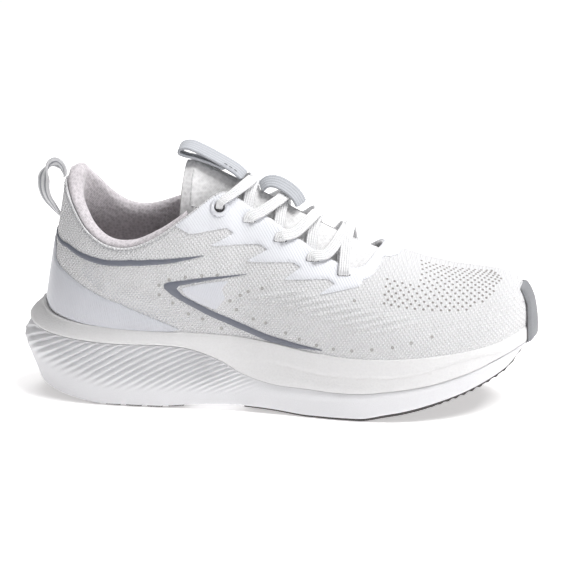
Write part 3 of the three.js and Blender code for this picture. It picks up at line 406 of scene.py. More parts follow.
def dots(name, spots, radius, material, dish, sides=10):
    """Small round marks on the upper: spots are (rib, height share) pairs, radius one number or one each."""
    spots = np.asarray(spots, float)
    radius = np.broadcast_to(np.asarray(radius, float), (len(spots),))
    point, normal = surface(spots[:, 0], spots[:, 1])
    first = unit(np.cross(normal, UP + 0 * normal))
    second = np.cross(normal, first)
    angle = np.linspace(0, 2 * math.pi, sides, endpoint=False)
    rim = (point[:, None] + radius[:, None, None] * (first[:, None] * np.cos(angle)[:, None]
           + second[:, None] * np.sin(angle)[:, None]) + normal[:, None] * DOT_LIFT)
    middle = point[:, None] + normal[:, None] * (DOT_LIFT + dish)
    under = point[:, None] - normal[:, None] * 0.3
    points = np.concatenate([middle, rim, under], 1)
    size = sides + 2
    faces = []
    for n in range(len(spots)):
        for j in range(sides):
            a, b = n * size + 1 + j, n * size + 1 + (j + 1) % sides
            faces += [[n * size, a, b], [n * size + size - 1, b, a]]
    return build(name, points.reshape(-1, 3), faces, material, weld=0, crease=60)


def ribbon(name, centre, normal, width, thick, material, slots=None, ribs=0.0):
    """A flat strap along centre: normal faces out of its flat side. Its section is a rounded rectangle.

    slots gives the material for a place across it, from -1 to 1; ribs is the height of its cords."""
    centre, normal = np.asarray(centre, float), np.asarray(normal, float)
    width = np.broadcast_to(np.asarray(width, float), (len(centre),)).copy()
    tangent = unit(np.gradient(centre, axis=0))
    normal = unit(normal - tangent * (normal * tangent).sum(-1, keepdims=True))
    wide = np.cross(tangent, normal)
    flat = np.linspace(-1, 1, 25 if ribs else 13)
    edge = 0.5 * thick / (0.5 * width.mean())
    section = [(-1 + edge * (1 - math.sin(a)), math.cos(a)) for a in np.linspace(0, math.pi, 5)[1:-1]]
    top = [(u * (1 - edge), 1.0) for u in flat]
    right = [(-u, v) for u, v in section]
    low = [(u * (1 - edge), -1.0) for u in flat[::-1]]
    left = [(u, -v) for u, v in section]
    profile = np.array(top + right + low + left)
    cords = 1 + ribs * np.cos(2 * math.pi * 2.5 * profile[:, 0])
    rings = (centre[:, None] + wide[:, None] * (width[:, None, None] / 2) * profile[None, :, 0:1]
             + normal[:, None] * (thick / 2) * (profile[:, 1] * cords)[None, :, None])
    for end, out in ((0, -1), (-1, 1)):
        rings[end] = centre[end] + (rings[end] - centre[end]) * 0.55 + tangent[end] * 0.35 * out
    across = np.broadcast_to((profile[:, 0] + 1) / 2, rings.shape[:2])
    down = np.broadcast_to(walked(centre)[:, None], rings.shape[:2])
    more = {}
    if slots is not None:
        n, m = rings.shape[:2]
        bands = [slots((profile[j, 0] + profile[(j + 1) % m, 0]) / 2) for j in range(m)]
        more["slots"] = bands * (n - 1) + [0, 0]
    return loft(name, rings, material, uv=np.stack([across, down / 10], -1).reshape(-1, 2), **more)


STITCH_SIDES = 6
STITCH_SIZE = np.array([0.35, 0.9, 1.1, 0.9, 0.35])  # of the radius, from one end of a stitch to the other
STITCH_RISE = np.array([-0.1, 0.6, 1, 0.6, -0.1]) * 0.12


def stitches(name, centre, normal, material, length=2.2, gap=1.0, radius=0.28):
    """A row of sewn stitches along a line on a surface."""
    centre, normal = np.asarray(centre, float), unit(np.asarray(normal, float))
    run = walked(centre)
    starts = np.arange(0.4, run[-1] - length, length + gap)
    angle = 2 * math.pi * np.arange(STITCH_SIDES) / STITCH_SIDES
    points, faces = [], []
    for n, s in enumerate(starts):
        at = s + length * np.array([0, 0.15, 0.5, 0.85, 1])
        spine = resample(at, run, centre)
        face = unit(resample(at, run, normal))
        along = unit(spine[-1] - spine[0])
        aside = unit(np.cross(along, face))
        size = radius * STITCH_SIZE
        up = STITCH_RISE[:, None] + size[:, None] * np.sin(angle)
        off = size[:, None] * np.cos(angle)
        points.append(spine[:, None] + face[:, None] * up[..., None] + aside[:, None] * off[..., None])
        base = n * len(at) * STITCH_SIDES
        faces += quads(len(at), STITCH_SIDES, tube=True, start=base).tolist()
        faces += end_caps(len(at), STITCH_SIDES, base)
    return build(name, np.reshape(points, (-1, 3)), faces, material, weld=0)


# ---- materials ----
WAVE = 0.31416  # the scale at which a wave texture has one ridge in each metre


class Paint:
    """A procedural material: a base colour with drifts of tone, a relief, and its own gloss."""

    def __init__(self, name, color, roughness, drift, drift_size=0.02, specular=0.4, sheen=0.0, coat=0.0):
        self.material = bpy.data.materials.new(name)
        self.material.use_nodes = True
        self.tree = self.material.node_tree
        self.shader = self.tree.nodes["Principled BSDF"]
        self.shader.inputs["Specular IOR Level"].default_value = specular
        self.shader.inputs["Sheen Weight"].default_value = sheen
        self.shader.inputs["Coat Weight"].default_value = coat
        self.shader.inputs["Coat Roughness"].default_value = 0.25
        self.place = self.node("ShaderNodeTexCoord")
        self.normal = None
        base = self.node("ShaderNodeRGB")
        base.outputs[0].default_value = (*color, 1)
        cloud = self.texture("ShaderNodeTexNoise", 1 / drift_size, Detail=4.0, Roughness=0.6)
        dark = self.math("MULTIPLY_ADD", cloud, 2 * drift, 1 - 1.35 * drift)
        self.color = self.scale_color(base.outputs[0], dark)
        fine = self.texture("ShaderNodeTexNoise", 900.0, Detail=2.0)
        rough = self.math("MULTIPLY_ADD", fine, 0.16, roughness - 0.08)
        self.tree.links.new(rough, self.shader.inputs["Roughness"])

    def node(self, kind, **values):
        n = self.tree.nodes.new(kind)
        for key, value in values.items():
            setattr(n, key, value)
        return n

    def math(self, operation, *values):
        n = self.node("ShaderNodeMath", operation=operation)
        for slot, value in enumerate(values):
            if isinstance(value, (int, float)):
                n.inputs[slot].default_value = value
            else:
                self.tree.links.new(value, n.inputs[slot])
        return n.outputs[0]

    def scale_color(self, color, factor):
        n = self.node("ShaderNodeVectorMath", operation="SCALE")
        self.tree.links.new(color, n.inputs[0])
        self.tree.links.new(factor, n.inputs["Scale"])
        return n.outputs[0]

    def texture(self, kind, scale, turn=(0, 0, 0), **inputs):
        """A texture in the piece's own space, turned by degrees about x, y and z."""
        turned = self.node("ShaderNodeMapping")
        turned.inputs["Rotation"].default_value = [math.radians(a) for a in turn]
        self.tree.links.new(self.place.outputs["Object"], turned.inputs["Vector"])
        n = self.node(kind)
        n.inputs["Scale"].default_value = scale
        for key, value in inputs.items():
            n.inputs[key.replace("_", " ")].default_value = value
        self.tree.links.new(turned.outputs[0], n.inputs["Vector"])
        return n.outputs["Distance"] if kind == "ShaderNodeTexVoronoi" else n.outputs["Fac"]

    def wave(self, period, turn, distortion=0.0):
        """Ridges every period (metres)."""
        return self.texture("ShaderNodeTexWave", WAVE / period, turn, Distortion=distortion, Detail=2.0,
                            Detail_Scale=1.5)

    def relief(self, height, depth, strength, shade=0.0):
        """Adds a height field, depth metres from low to high; shade paints shade into its low places by
        darkening their colour.
        """
        n = self.node("ShaderNodeBump")
        n.inputs["Strength"].default_value = strength
        n.inputs["Distance"].default_value = depth
        self.tree.links.new(height, n.inputs["Height"])
        if self.normal is not None:
            self.tree.links.new(self.normal, n.inputs["Normal"])
        self.normal = n.outputs["Normal"]
        # painted shade: the colour is darkened where the height is low
        if shade:
            self.color = self.scale_color(self.color, self.math("MULTIPLY_ADD", height, shade, 1 - shade))
        return self

    def done(self):
        self.tree.links.new(self.color, self.shader.inputs["Base Color"])
        if self.normal is not None:
            self.tree.links.new(self.normal, self.shader.inputs["Normal"])
        return self.material


def knit_paint(name, color, rib=0.0017, cell=0.0009):
    """Fine diagonal knit ribs crossed by rows of stitches."""
    p = Paint(name, color, 0.85, drift=0.05, specular=0.25, sheen=0.25)
    ribs = p.wave(rib, (0, 38, 0), distortion=0.6)
    rows = p.wave(cell * 1.6, (0, -40, 0), distortion=0.8)
    loops = p.texture("ShaderNodeTexVoronoi", 1 / cell)
    woven = p.math("MULTIPLY", ribs, rows)
    p.relief(woven, 0.0005, 0.9, shade=0.17)
    p.relief(loops, 0.00016, 0.5, shade=0.05)
    return p.done()


def mesh_paint(name, color, size, shade, drift=0.08):
    """An open spacer mesh: round cells in a woven ground."""
    p = Paint(name, color, 0.92, drift=drift, specular=0.2, sheen=0.35)
    cells = p.texture("ShaderNodeTexVoronoi", 1 / size)
    p.relief(cells, 0.0003, 0.9, shade=shade)
    p.relief(p.wave(0.0008, (20, 35, 0), distortion=1.0), 0.00012, 0.6, shade=0.06)
    return p.done()


def film_paint(name, color, rib, turn=35, roughness=0.42, coat=0.15, depth=0.00014):
    """A moulded film with fine slanting ribs."""
    p = Paint(name, color, roughness, drift=0.025, specular=0.5, coat=coat)
    p.relief(p.wave(rib, (0, turn, 0)), depth, 0.7, shade=0.035)
    p.relief(p.texture("ShaderNodeTexNoise", 1500.0), 0.00006, 0.4)
    return p.done()


def foam_paint(name, color, grain, depth):
    """Moulded foam: a satin skin with fine pebbling and a few soft scuffs."""
    p = Paint(name, color, 0.55, drift=0.035, drift_size=0.05)
    p.relief(p.texture("ShaderNodeTexVoronoi", 1 / grain), depth, 0.6, shade=0.05)
    p.relief(p.texture("ShaderNodeTexNoise", 60.0, Detail=5.0), 0.0003, 0.25)
    return p.done()


def braid_paint(name, color, pitch, shade=0.2):
    """Flat braid or webbing: a herringbone that follows the strap."""
    p = Paint(name, color, 0.85, drift=0.04, specular=0.25, sheen=0.2)
    split = p.node("ShaderNodeSeparateXYZ")
    p.tree.links.new(p.place.outputs["UV"], split.inputs[0])
    cord = p.math("FRACT", p.math("MULTIPLY", split.outputs[0], 5.0))
    folded = p.math("ABSOLUTE", p.math("SUBTRACT", cord, 0.5))
    cords = p.math("SUBTRACT", 1.0, p.math("MULTIPLY", folded, 2.0))
    slanted = p.math("MULTIPLY_ADD", folded, 0.5, p.math("MULTIPLY", split.outputs[1], 1 / pitch))
    twist = p.math("MULTIPLY_ADD", p.math("SINE", p.math("MULTIPLY", slanted, 2 * math.pi)), 0.5, 0.5)
    p.relief(cords, 0.0003, 0.8, shade=shade)
    p.relief(twist, 0.0001, 0.5, shade=shade * 0.3)
    p.relief(p.texture("ShaderNodeTexNoise", 1800.0), 0.0001, 0.5)
    return p.done()


def rubber_paint(name, color, roughness=0.7, grain=0.0009):
    p = Paint(name, color, roughness, drift=0.14, drift_size=0.012, specular=0.35)
    p.relief(p.texture("ShaderNodeTexVoronoi", 1 / grain), 0.00012, 0.6, shade=0.12)
    p.relief(p.texture("ShaderNodeTexNoise", 300.0, Detail=5.0), 0.00015, 0.4)
    return p.done()


WHITE = (0.80, 0.797, 0.81)
FILM = (0.73, 0.74, 0.78)
SLATE = (0.150, 0.160, 0.195)
paint = {
    "knit": knit_paint("knit_white", WHITE),
    "tongue": mesh_paint("tongue_mesh", (0.87, 0.865, 0.87), 0.0022, 0.22, drift=0.04),
    "film": film_paint("film_bluish", FILM, 0.0013),
    "fill_film": film_paint("film_inset", (0.655, 0.665, 0.71), 0.0012, turn=-20),
    "heel_film": film_paint("film_heel", (0.605, 0.615, 0.66), 0.00105, turn=-12, depth=0.00025),
    "stripe": film_paint("stripe_slate", SLATE, 0.0006, roughness=0.38, coat=0.1, depth=0.00004),
    "lining": mesh_paint("lining_mesh", (0.76, 0.715, 0.745), 0.0017, 0.36, drift=0.04),
    "sock": mesh_paint("sockliner_mesh", (0.60, 0.57, 0.575), 0.0011, 0.2),
    "binding": mesh_paint("binding_weave", (0.66, 0.62, 0.625), 0.0008, 0.15),
    "foam_upper": foam_paint("midsole_upper_foam", (0.745, 0.74, 0.745), 0.0012, 0.00018),
    "foam_lower": foam_paint("midsole_lower_foam", (0.745, 0.745, 0.765), 0.0006, 0.00008),
    "rubber": rubber_paint("outsole_rubber", (0.085, 0.078, 0.078)),
    "bumper": rubber_paint("bumper_rubber", (0.265, 0.27, 0.285), roughness=0.6, grain=0.0007),
    "webbing": braid_paint("webbing_grey", (0.50, 0.515, 0.55), 0.11),
    "webbing_stripe": braid_paint("webbing_stripe", (0.30, 0.31, 0.335), 0.11),
    "webbing_white": braid_paint("webbing_white", (0.74, 0.74, 0.76), 0.11),
    "lace": braid_paint("lace_white", (0.86, 0.86, 0.87), 0.17, shade=0.16),
    "thread": knit_paint("thread_white", (0.72, 0.73, 0.76), rib=0.0004, cell=0.0003),
    "thread_white": knit_paint("thread_bright", (0.83, 0.83, 0.84), rib=0.0004, cell=0.0003),
    "thread_grey": knit_paint("thread_grey", (0.33, 0.34, 0.37), rib=0.0004, cell=0.0003),
    # The next colour paints the shade inside the vamp perforations.
    "hole": rubber_paint("perforation_painted_shade", (0.30, 0.285, 0.275), roughness=0.9),
    "pore": rubber_paint("pore_shade", (0.43, 0.42, 0.41), roughness=0.9),
    # The next colour paints the shade inside the eyelets and lace slots.
    "slot_painted_shade": rubber_paint("slot_painted_shade", (0.10, 0.10, 0.105), roughness=0.9),
    "print": film_paint("print_dots", (0.53, 0.535, 0.57), 0.0006, depth=0.00003),
    "plastic": film_paint("aglet_plastic", (0.72, 0.75, 0.78), 0.0021, roughness=0.2, coat=0.4,
                          depth=0.00004),
    "inner_plastic": film_paint("inner_board_plastic", (0.62, 0.63, 0.65), 0.002),
    "board": mesh_paint("strobel_fibre", (0.62, 0.58, 0.50), 0.0007, 0.15),
}

sides = (("lateral", -1), ("medial", 1))


def put(piece, *replaced, body="shoe", slot=None):
    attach(piece, body)
    if replaced:
        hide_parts(*replaced)
    return piece


# ---- lace tails first: each is tucked down inside the shoe and lies along the sockliner ----
LACE_THICK = 1.7
TAIL_WIDTH = 4.6
TAILS = {
    "lateral": [
        [111.3, -19, 104.6], [112.6, -20.6, 99.6], [114.3, -22.9, 94], [116.7, -25.6, 84.9],
        [119.7, -28.1, 73.5], [122.8, -29.4, 62.3], [126.5, -29.2, 52.6], [131.5, -26.6, 45.4],
        [138.5, -22.6, 42.6], [147, -18.8, 41.2], [156, -16.4, 39.8], [165, -15.6, 38.6], [174, -16.6, 37.6],
        [182, -18.9, 37], [189, -21.8, 36.7]],
    "medial": [
        [111.8, 17, 105.2], [113, 18.4, 100], [115.1, 19.9, 94.4], [117.5, 22.6, 85.1], [120.3, 24.7, 73.8],
        [123.1, 25.6, 62.7], [126.6, 25.2, 53], [131.6, 22.2, 45.6], [138.5, 18, 42.6], [147, 14.4, 41.2],
        [156, 12.2, 39.8], [165, 11.6, 38.6], [174, 12.8, 37.6], [182, 15.4, 37], [189, 18.6, 36.7]],
}
TAIL_STEPS = 150
for name, side in sides:
    route = np.array(TAILS[name], float) * [ALONG, ACROSS, 1]
    fine = spline(route, TAIL_STEPS)
    lying = smooth(np.linspace(0, len(route) - 1, TAIL_STEPS), 5, 9)[:, None]
    facing = unit(np.array([0, -side, 0]) * (1 - lying) + UP * lying)
    tail = ribbon(f"tail_{name}", fine, facing, TAIL_WIDTH, LACE_THICK, paint["lace"], ribs=0.08)
    put(tail, f"lace_tail_{name}", slot="lace")

# ---- knit upper ----
RIB_FIRST = ((130.0, 62.5), (163.0, 69.0))  # x and z at the two ends of the first raised rib of the forefoot
RIB_STEP = ((8.2, -1.9), (8.2, -1.7))
RIB_COUNT = 9
RIB_HEIGHT = 0.75
RIB_HALF = 0.85


def knit_relief(points):
    """Raised slanting ribs on the forefoot, each tapering out at its ends."""
    height = np.zeros(points.shape[:-1])
    x, z = points[..., 0], points[..., 2]
    for n in range(RIB_COUNT):
        a = np.array(RIB_FIRST[0]) + n * np.array(RIB_STEP[0])
        b = np.array(RIB_FIRST[1]) + n * np.array(RIB_STEP[1])
        run = b - a
        t = ((x - a[0]) * run[0] + (z - a[1]) * run[1]) / (run @ run)
        away = np.abs((x - a[0]) * run[1] - (z - a[1]) * run[0]) / np.linalg.norm(run)
        taper = smooth(t, -0.05, 0.25) * (1 - smooth(t, 0.75, 1.05))
        height += RIB_HEIGHT * np.exp(-(away / RIB_HALF) ** 2) * taper
    return height


ks = np.arange(0, RING, 0.05)
ws = np.linspace(0, 1, 121)
KK, WW = np.meshgrid(ks, ws, indexing="ij")
plain, normals = surface(KK, WW)
rise = knit_relief(plain) * (1 - smooth(WW, 0.78, 0.86))
seam = 0.35 * np.exp(-(((1 - WW) * 95 - 2.2) / 0.8) ** 2) * ~on_ridge(KK)  # the groove just below the edge
outer = plain + normals * (rise - seam)[..., None]
inner = plain - normals * KNIT
rim_top = (outer[:, -1] + inner[:, -1]) / 2 + unit(outer[:, -1] - outer[:, -3]) * 0.7
n, m = outer.shape[:2]
points = np.concatenate([outer.reshape(-1, 3), inner.reshape(-1, 3), rim_top])
faces = quads(n, m, ring=True).tolist()
faces += quads(n, m, ring=True, start=n * m)[:, ::-1].tolist()
for i in range(n):
    j = (i + 1) % n
    base, far = i * m, j * m
    faces.append([base, base + n * m, far + n * m, far])
    if not (on_ridge(ks[i]) and on_ridge(ks[j])):
        a, b = base + m - 1, far + m - 1
        top_a, top_b = 2 * n * m + i, 2 * n * m + j
        faces += [[a, b, top_b, top_a], [top_a, top_b, b + n * m, a + n * m]]
upper = build("knit_upper", points, faces, paint["knit"])
loose = bmesh.new()
loose.from_mesh(upper.data)
bmesh.ops.delete(loose, geom=[v for v in loose.verts if not v.link_faces], context="VERTS")
loose.to_mesh(upper.data)
loose.free()
put(upper, "upper_knit", slot="knit")

# ---- vamp perforations and pores ----
HOLE_STEP = 0.31  # of a rib
spots = []
for row, w in enumerate(np.arange(0.43, 0.9, 0.028)):
    left = 14.05 + 0.35 * smooth(w, 0.42, 0.8)
    reach = 16.2 + 3.1 * math.sqrt(max(0.0, (w - 0.40) / 0.30)) if w < 0.70 else 19.4
    k = left + (row % 2) * HOLE_STEP / 2
    while k < reach:
        if not (14.0 < k < 15.5 and w > 0.62):
            spots.append((k, w))
        k += HOLE_STEP * (1 + 0.25 * smooth(k, 16.5, 19))
spots = np.array(spots)
both = np.concatenate([spots, np.stack([RING - spots[:, 0], spots[:, 1]], 1)])
# The perforations are flat dark discs; their colour is painted shade for the inside of each hole.
put(dots("vamp_perforations", both, 0.72, paint["hole"], dish=-0.02), slot="knit")

PORE_LINES = [
    [(80.3, 69), (86, 72), (95, 73.8), (104, 74.6), (112.5, 75)],
    [(80.4, 63.5), (88, 59), (96.6, 53), (104.5, 50.4), (115, 45.5)],
    [(125.4, 64.3), (129.8, 66.4), (137.6, 68.7)],
    [(119.7, 61), (123.6, 56.3), (133, 51.8), (140.3, 50.2), (151.7, 45.6), (159.5, 42.8), (169.2, 40.4)],
    [(178.7, 39), (188.9, 38.8), (199.9, 40), (211, 41.5), (221, 44), (232, 47)],
    [(189, 64.4), (185.2, 61.9), (181, 59.7), (187, 58), (192, 60.5), (194.2, 58.2)],
]
pores = []
for name, side in sides:
    for line in PORE_LINES:
        for x, z in line:
            k, w = locate(x, z, side)
            pores.append((side_k(k, side), w))
put(dots("knit_pores", pores, 0.95, paint["pore"], dish=-0.05), slot="knit")

# Printed dots that thin out from the heel film into the knit.
fade = []
sizes = []
for name, side in sides:
    for row in range(26):
        for column in range(34):
            k = 3.2 + 0.125 * column + 0.0625 * (row % 2)
            w = 0.17 + 0.0235 * row
            edge = 0.62 - 0.135 * (k - 2.6)
            away = w - edge
            if 0.02 < away < 0.30 and k < 7.4:
                fade.append((side_k(k, side), w))
                sizes.append(0.60 * (1 - away / 0.40))
put(dots("heel_print_dots", fade, sizes, paint["print"], dish=0.06, sides=8), slot="heel_film")

# ---- films ----
EYESTAY = [
    (88, 102), (97, 97), (116.5, 100), (120.5, 97), (107.5, 90.5), (134.5, 91.5), (139.5, 88.5), (127, 82),
    (153.5, 82.5), (158.5, 80), (149, 73.5), (173.5, 74.5), (177.5, 72), (169, 66.5), (191, 71),
    (193, 74.5)]


def eyestay_outline(side):
    low = side_outline(soften(EYESTAY), side, 2.0)
    low = low[:max(i for i, (k, w) in enumerate(low) if k > 12.6 and w < 0.85) + 1]
    front = [(13.45, 0.80), (13.9, 0.775), (14.35, 0.80), (14.68, 0.86), (14.85, 0.93), (14.88, 1.0)]
    ridge = [(k, 1.0) for k in np.linspace(14.7, 14.1, 4)]
    return low + front + ridge + [(k, 0.99) for k in np.linspace(13.9, low[0][0], 30)]


for name, side in sides:
    film = patch(f"eyestay_film_{name}", eyestay_outline(side), side, paint["film"], 0.75, step=1.3)
    put(film, f"eyestay_overlay_{name}", *(["throat_overlay"] if side < 0 else []), slot="film")

    fan = [(10, 82), (13, 84), (18, 78), (28, 70.5), (42, 63.5), (58, 57.5), (75, 50.5), (91, 43.8)]
    top = [locate(x, z, side) for x, z in fan[2:]]
    outline = [(0.0, 0.56), (0.7, 0.555), (1.3, 0.53)] + top + [(k, 0.09) for k in np.linspace(6.4, 0, 24)]
    heel = patch(f"heel_film_{name}", outline, side, paint["heel_film"], 0.8, step=1.6)
    put(heel, *(["heel_overlay"] if side < 0 else []), slot="heel_film")

    chevron = [
        (83.0, 69.3), (85.4, 70.7), (105, 73.4), (131, 76.0), (105, 71.6), (91.5, 68.9), (90, 67.2),
        (93.5, 63.3), (110, 55.0), (126, 48.9), (141, 43.6), (157, 40.4), (174, 37.7), (157, 37.7),
        (141, 40.2), (125, 45.7), (108, 52.4), (92, 60.8), (87, 64), (83.4, 66.9)]
    outline = side_outline(soften(chevron), side, 1.5)
    stripe = patch(f"chevron_{name}", outline, side, paint["stripe"], 0.55, step=1.0)
    put(stripe, f"side_stripe_{name}", slot="stripe")
    fill = [(92.5, 67.4), (104, 70.2), (119, 72), (115, 67.5), (117, 62), (112, 55.8), (103, 59), (96, 62.8)]
    fill_outline = side_outline(soften(fill), side, 2.2)
    put(patch(f"chevron_fill_{name}", fill_outline, side, paint["fill_film"], 0.3, step=1.3), slot="film")

    band = [(27, 87.4), (36, 84.0), (45, 82.2), (56, 81.8), (64, 82.4), (75, 82.8), (90, 84), (105, 85.4)]
    under = [(90, 81.8), (75, 79.9), (64, 79.3), (56, 78.8), (45, 79.2), (36, 81.2), (26, 85.2)]
    edge_top = [locate(x, z, side) for x, z in band]
    edge_low = [locate(x, z, side) for x, z in under]
    outline = ([(0.0, 0.60), (0.8, 0.603), (1.4, 0.62), (1.9, 0.66)] + edge_top + edge_low
               + [(1.9, 0.625), (1.4, 0.588), (0.8, 0.572), (0.0, 0.57)])
    put(patch(f"collar_stripe_{name}", outline, side, paint["stripe"], 0.55, step=1.2),
        *(["collar_stripe"] if side < 0 else []), slot="stripe")

# ---- lace holes ----
LACE_RIBS = [7.95, 9.15, 10.15, 11.15, 12.3]
INSETS = [10, 10.5, 10, 8, 6.5]
LACE_WIDTH = 6.4
CLEAR = 0.35
FILM_THICK = 0.6
RING_TOP = 2 * CLEAR + FILM_THICK + 0.2 + 1.5
HOLE_LONG, HOLE_SHORT = LACE_WIDTH / 2 + 0.35, 0.95
HOLE_PROFILE = ((0.01, 0.16), (1.02, 0.16), (1.02, -0.5), (0.01, -0.5))


def surface_at(k, w):
    point, normal = surface(np.array([k]), np.array([w]))
    return point[0], normal[0]


def hole_frame(row, side):
    """A lace hole's rib, its place and normal on the upper, and its directions up the rib and along it."""
    k = side_k(LACE_RIBS[row], side)
    w = 1 - INSETS[row] / rib_length(np.array([k]))[0]
    point, normal = surface_at(k, w)
    up_rib = surface_at(k, w + 0.02)[0] - surface_at(k, w - 0.02)[0]
    up_rib = unit(up_rib - normal * (up_rib @ normal))
    return k, point, normal, up_rib, unit(np.cross(normal, up_rib))


CIRCLE = np.linspace(0, 2 * math.pi, 40, endpoint=False)[:, None]


def turned(profile, centre, normal, first, second):
    """A round piece: profile is (radius, height) pairs swung about normal."""
    r, h = np.array(profile).T
    around = first * np.cos(CIRCLE) + second * np.sin(CIRCLE)
    return centre + around[:, None] * r[None, :, None] + normal * h[None, :, None]


for name, side in sides:
    _, point, normal, up_rib, aside = hole_frame(0, side)
    seat = point + normal * 0.9
    lip = [(2.9 + 1.15 * (1 - math.cos(a)), 1.25 * math.sin(a)) for a in np.linspace(0, math.pi, 12)]
    profile = lip + [(5.2, -0.5), (2.9, -0.5)]
    eyelet = loft(f"eyelet_{name}", turned(profile, seat, normal, aside, up_rib), paint["film"], ring=True)
    put(eyelet, f"eyelet_ring_{name}", slot="film")
    # A dark disc in the eyelet's opening: painted shade for the hole.
    dark = turned([(0.01, -0.05), (3.0, -0.05), (3.0, -0.6), (0.01, -0.6)], seat, normal, aside, up_rib)
    put(loft(f"eyelet_hole_{name}", dark, paint["slot_painted_shade"], ring=True), slot="film")
    for row in range(1, 5):
        _, point, normal, up_rib, aside = hole_frame(row, side)
        a, b = np.cos(CIRCLE), np.sin(CIRCLE)
        oval = (aside * (np.sign(a) * np.abs(a) ** 0.6 * HOLE_LONG)
                + up_rib * (np.sign(b) * np.abs(b) ** 0.7 * HOLE_SHORT))
        seat = point + normal * 0.75
        rings = np.stack([seat + oval * s + normal * h for s, h in HOLE_PROFILE], 1)
        # A dark oval where the lace goes into the film: painted shade for the slot.
        put(loft(f"slot_hole_{name}_{row}", rings, paint["slot_painted_shade"], ring=True), slot="film")

# ---- collar: a padded roll in a mesh lining, swelled as cloth under pressure ----
COLLAR_RIB = 7.0
COUNTER = 1.4
LINING = 1.2
PADDING = 8.2
INNER_DEPTH = KNIT + COUNTER + 2 * CLEAR


def hook_path(k):
    """Height below the edge and depth of the lining, from the outside of the collar over to the footbed."""
    away = np.abs(k)
    fullness = 1 - 0.62 * smooth(away, 4.8, COLLAR_RIB)
    lift = 0.6 + 3.4 * (1 - smooth(away, 0, 2)) + 1.4 * smooth(away, 5, 6.5)
    lift = lift + 6.4 * smooth(-k, 0.2, 1.5) * (1 - smooth(-k, 2.2, 5.0))
    length = rib_length(k)
    start = KNIT + 2 * CLEAR
    pad = PADDING * fullness
    top = lift + 0.5 * pad
    one = np.ones_like(k)
    inner = INNER_DEPTH + LINING
    steps = [
        (4.5 * one, start * one), (0.8 * one, start * one),
        (-np.maximum(0.5 * lift, 0.9), (start - 0.7) * one), (-lift - 0.25 * pad, (start - 0.2) * one),
        (-top + 0.6, start + 0.2 * pad), (-top, start + 0.45 * pad), (-top + 0.8, start + 0.75 * pad),
        (-lift + 0.4, start + pad), (0.1 * length, start + pad + 0.2),
        (0.24 * length, start + 0.8 * pad + 0.6),
        (0.4 * length, np.maximum(INNER_DEPTH, start + 0.3 * pad) + LINING + 0.2),
        (0.6 * length, inner * one), (length - 4.2, inner * one)]
    return np.stack([wall_point(k, h, d) for h, d in steps], 1)


CLOTH_FRAMES = 16


def swell(thing, pinned, pressure, cap):
    """Blows a closed soft piece up a little as cloth, holding the pinned points and capping every move."""
    before = np.array([v.co for v in thing.data.vertices])
    group = thing.vertex_groups.new(name="pin")
    group.add([int(i) for i in pinned], 1.0, "REPLACE")
    cloth = thing.modifiers.new("cloth", "CLOTH")
    cloth.settings.quality = 6
    cloth.settings.mass = 0.2
    cloth.settings.use_pressure = True
    cloth.settings.uniform_pressure_force = pressure
    cloth.settings.tension_stiffness = 18
    cloth.settings.compression_stiffness = 18
    cloth.settings.bending_stiffness = 1.5
    cloth.settings.vertex_group_mass = "pin"
    cloth.settings.effector_weights.gravity = 0
    cloth.point_cache.frame_start = 1
    cloth.point_cache.frame_end = CLOTH_FRAMES
    for f in range(1, CLOTH_FRAMES + 1):
        scene.frame_set(f)
    shaped = thing.evaluated_get(bpy.context.evaluated_depsgraph_get())
    after = np.array([v.co for v in shaped.data.vertices])
    thing.modifiers.remove(cloth)
    thing.vertex_groups.remove(group)
    scene.frame_set(1)
    move = after - before
    size = np.linalg.norm(move, axis=1, keepdims=True)
    move = move * np.minimum(1, cap / np.maximum(size, 1e-9))
    for v, co in zip(thing.data.vertices, before + move):
        v.co = co


collar_ks = np.arange(-COLLAR_RIB, COLLAR_RIB + 0.01, 0.1)
collar_path = spline(hook_path(collar_ks), 58)
facing = unit(np.cross(np.gradient(collar_path, axis=0), np.gradient(collar_path, axis=1)))
roll_top, roll_middle = collar_path[70, 30], collar_path[70, 20:45].mean(0)
faces_out = facing[70, 30] @ (roll_top - roll_middle) > 0
inside_face = collar_path + facing * (-LINING if faces_out else LINING)
collar_rings = np.concatenate([collar_path, inside_face[:, ::-1]], 1)
collar = loft("collar_padding", collar_rings, paint["lining"], weld=0)
per = collar_rings.shape[1]
firm = [i * per + j for i in range(len(collar_ks)) for j in range(per)
        if j < 12 or j > 34 or i < 3 or i > len(collar_ks) - 4]
swell(collar, firm, 6.0, 0.0016)
put(collar, "collar_lining", "collar_foam", slot="lining")
seam_line = wall_point(collar_ks, np.full_like(collar_ks, 1.6), np.full_like(collar_ks, -0.1))
seam_out = surface(collar_ks, np.full_like(collar_ks, 0.98))[1]
put(stitches("collar_stitches", seam_line, seam_out, paint["thread"], length=1.7, gap=0.9, radius=0.24),
    slot="knit")

# ---- tongue: a padded pillow with a mesh cover, its lining underneath ----
TONGUE_DEPTH = KNIT + LACE_THICK + 2 * CLEAR + 1.4 * CLEAR
TONGUE_TOP = np.array([91 * ALONG, 1.0 * ACROSS, 138.5])
TONGUE_HALF = 19 * ACROSS
TONGUE_WRAP = 36
TONGUE_THICK = 8.4  # cover, foam and lining, with the gaps between them


